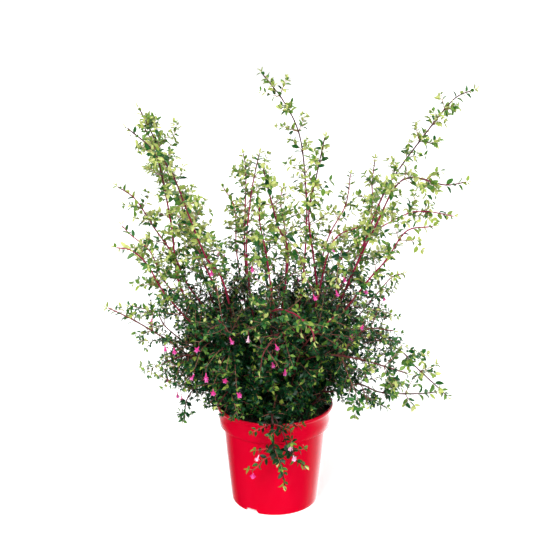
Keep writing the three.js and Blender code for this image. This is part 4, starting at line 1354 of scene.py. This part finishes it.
def build_pot():
    pot = lathe("moulded_pot", pot_profile(), POT_SIDES)
    inside = WALL_FOOT_RADIUS - WALL - 0.7
    for turn in POCKET_TURNS:
        combine(pot, wedge("pocket_wall", turn, WALL, POCKET_INNER_RADIUS - WALL, inside), "UNION")
        combine(pot, wedge("pocket", turn, 0, POCKET_INNER_RADIUS, RIM_RADIUS), "DIFFERENCE")
        combine(pot, drain("drain", turn), "DIFFERENCE")
    pot.data.name = "moulded_pot"
    pot.data.materials.clear()
    pot.data.materials.append(pot_material())
    pot.data.polygons.foreach_set("use_smooth", np.ones(len(pot.data.polygons), bool))
    pot.data.set_sharp_from_angle(angle=radians(SHARP_EDGE))
    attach(pot, BODY)
    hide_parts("pot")


# Soil
def soil_height(x, y):
    bump = sin(x * 0.11 + 1.3) * cos(y * 0.13 + 0.4) + 0.5 * sin((x + y) * 0.21)
    fine = sin(x * 0.83 + 2) * sin(y * 0.91) + sin(x * 1.7 - y * 1.3)
    return SOIL_TOP + SOIL_BUMP * bump / 1.5 + 0.35 * fine


def add_soil_body(draft):
    """The top is a rough disc, and the sides follow the pot's lining down to its floor"""
    lining = [
        (BAND_FOOT_RADIUS - WALL + 0.4, SOIL_TOP - 3),
        (BAND_FOOT_RADIUS - WALL - SOIL_CLEARANCE, BAND_FOOT_Z + 3),
        (WALL_TOP_RADIUS - WALL - SOIL_CLEARANCE, WALL_TOP_Z),
        (WALL_FOOT_RADIUS - WALL - 2 * SOIL_CLEARANCE, POCKET_HEIGHT + 2 * WALL),
        (0.5, POCKET_HEIGHT + 2 * WALL),
    ]
    corners = []
    for i in range(SOIL_RINGS):
        radius = mix(0.5, BAND_FOOT_RADIUS - WALL + 0.6, i / (SOIL_RINGS - 1))
        corners += [(x, y, soil_height(x, y)) for x, y, _ in ring(radius, 0, SOIL_SIDES)]
    for radius, z in lining:
        corners += ring(radius, z, SOIL_SIDES)
    faces = [tuple(reversed(face)) for face in tube_faces(SOIL_RINGS + len(lining), SOIL_SIDES)]
    places = [(x / PLACE_UNIT, y / PLACE_UNIT) for x, y, _ in corners]
    draft.add(corners, faces, 0, 0.4, places)


@functools.lru_cache(maxsize=None)
def lump_form():
    """A rounded cube, whose corners lie on a ball"""
    steps = (-1, 0, 1)
    corners, faces, index = [], [], {}

    def corner(point):
        if point not in index:
            index[point] = len(corners)
            corners.append(Vector(point).normalized())
        return index[point]

    for axis in range(3):
        for side in (-1, 1):
            for a, b in zip(steps, steps[1:]):
                for c, d in zip(steps, steps[1:]):
                    square = [(a, c), (b, c), (b, d), (a, d)]
                    face = [corner(tuple(np.roll((side, u, v), axis))) for u, v in square]
                    faces.append(tuple(face if side > 0 else reversed(face)))
    return np.array([tuple(point) for point in corners]), faces


def add_lump(draft, chance, size, stretch, tone):
    """A crumb or a bit of bark, half sunk in the soil"""
    angle = chance.uniform(0, 2 * pi)
    reach = (BAND_FOOT_RADIUS - WALL - 2 * size) * sqrt(chance.random())
    x, y = reach * cos(angle), reach * sin(angle)
    corners, faces = lump_form()
    waves = np.sin(corners @ np.array([[4, 1, 2], [1, 5, 3], [2, 2, 6]]) + chance.uniform(0, 6))
    turn = np.array(Matrix.Rotation(chance.uniform(0, pi), 3, "Z"))
    shaped = (corners * (1 + LUMP_DENTS * waves) * size * np.array(stretch)) @ turn.T
    shaped += np.array((x, y, soil_height(x, y) + size * stretch[2] * LUMP_RISE))
    draft.add(shaped, faces, 0, tone, np.zeros((len(corners), 2)))


def build_soil():
    draft = Draft()
    chance = random.Random(SEED)
    add_soil_body(draft)
    for _ in range(CRUMBS):
        add_lump(draft, chance, chance.uniform(*CRUMB_SIZES) / 2, (1, chance.uniform(0.6, 1), 0.7),
                 chance.uniform(0.1, 0.7))
    for _ in range(BARK_BITS):
        add_lump(draft, chance, chance.uniform(*BARK_SIZES) / 2, (1.3, chance.uniform(0.3, 0.6), 0.3),
                 chance.uniform(0.7, 1))
    soil = piece_from(draft, "potting_soil", [soil_material()])
    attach(soil, BODY)
    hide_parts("soil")


# Studio
def build_floor():
    reach = FLOOR_REACH
    corners = [(-reach, -reach, 0), (reach, -reach, 0), (reach, reach, 0), (-reach, reach, 0)]
    floor = plain_piece("studio_floor", corners, [(0, 1, 2, 3)])
    floor.data.materials.append(floor_material())
    floor.visible_glossy = False


def build_backdrop():
    """A white dome all round, which is only seen and lights nothing"""
    turns = [pi * i / BACKDROP_RINGS for i in range(BACKDROP_RINGS + 1)]
    arc = [(BACKDROP_RADIUS * sin(turn), -BACKDROP_RADIUS * cos(turn)) for turn in turns]
    backdrop = lathe("backdrop", arc, BACKDROP_SIDES)
    backdrop.data.materials.append(backdrop_material())
    backdrop.visible_diffuse = False
    backdrop.visible_glossy = False
    backdrop.visible_transmission = False
    backdrop.visible_shadow = False


def add_lamp(name, place, strength, width):
    light = bpy.data.lights.new(name, "SUN")
    light.energy = strength
    light.angle = radians(width)
    lamp = link(name, light)
    lamp.location = place
    lamp.rotation_euler = (Vector(LIT_POINT) - Vector(place)).to_track_quat("-Z", "Y").to_euler()
    lamp.visible_camera = False


def studio_world():
    """An even glow; gloss mirrors a white ceiling, white walls behind and to the right, and a dark front"""
    world = bpy.data.worlds.new("studio")
    world.use_nodes = True
    tree = world.node_tree
    direction = add_node(tree, "TexCoord", {}).outputs["Generated"]
    wall = add_node(tree, "VectorMath", {0: direction, 1: BRIGHTEST_SIDE}, operation="DOT_PRODUCT")
    walls = ramp(tree, wall.outputs["Value"], [
        (0.12, (0, 0, 0)),
        (0.35, (0.07, 0.07, 0.07)),
        (0.65, (0.34, 0.34, 0.34)),
        (0.9, (1, 1, 1)),
    ])
    height = add_node(tree, "SeparateXYZ", {"Vector": direction}).outputs["Z"]
    ceiling = ramp(tree, height, [(0.25, (0, 0, 0)), (0.8, (CEILING_GLOW, CEILING_GLOW, CEILING_GLOW))])
    mirrored = maths(tree, "MULTIPLY_ADD", walls, SIDE_GLOW, ceiling)
    glossy = add_node(tree, "LightPath", {}).outputs["Is Glossy Ray"]
    glow = add_node(tree, "Mix", {"Factor": glossy, "A": WORLD_GLOW, "B": mirrored})
    feed(tree, tree.nodes["Background"], {"Color": (1, 1, 1, 1), "Strength": glow.outputs["Result"]})
    return world


def build_studio():
    """Broad light from above and from both sides of the camera"""
    build_floor()
    build_backdrop()
    for name, settings in LAMPS.items():
        add_lamp(name, *settings)
    bpy.context.scene.world = studio_world()
    bpy.context.scene.view_settings.view_transform = "Standard"


def build_camera():
    camera = bpy.data.cameras.new("camera")
    camera.sensor_width = SENSOR_WIDTH
    camera.lens = FOCAL_WIDTHS * SENSOR_WIDTH
    holder = link("camera", camera)
    holder.location = [MM * value for value in CAMERA_PLACE]
    holder.rotation_euler = (radians(90 - CAMERA_PITCH), 0, 0)
    bpy.context.scene.camera = holder


build_camera()
build_studio()
build_pot()
build_soil()
build_plant()
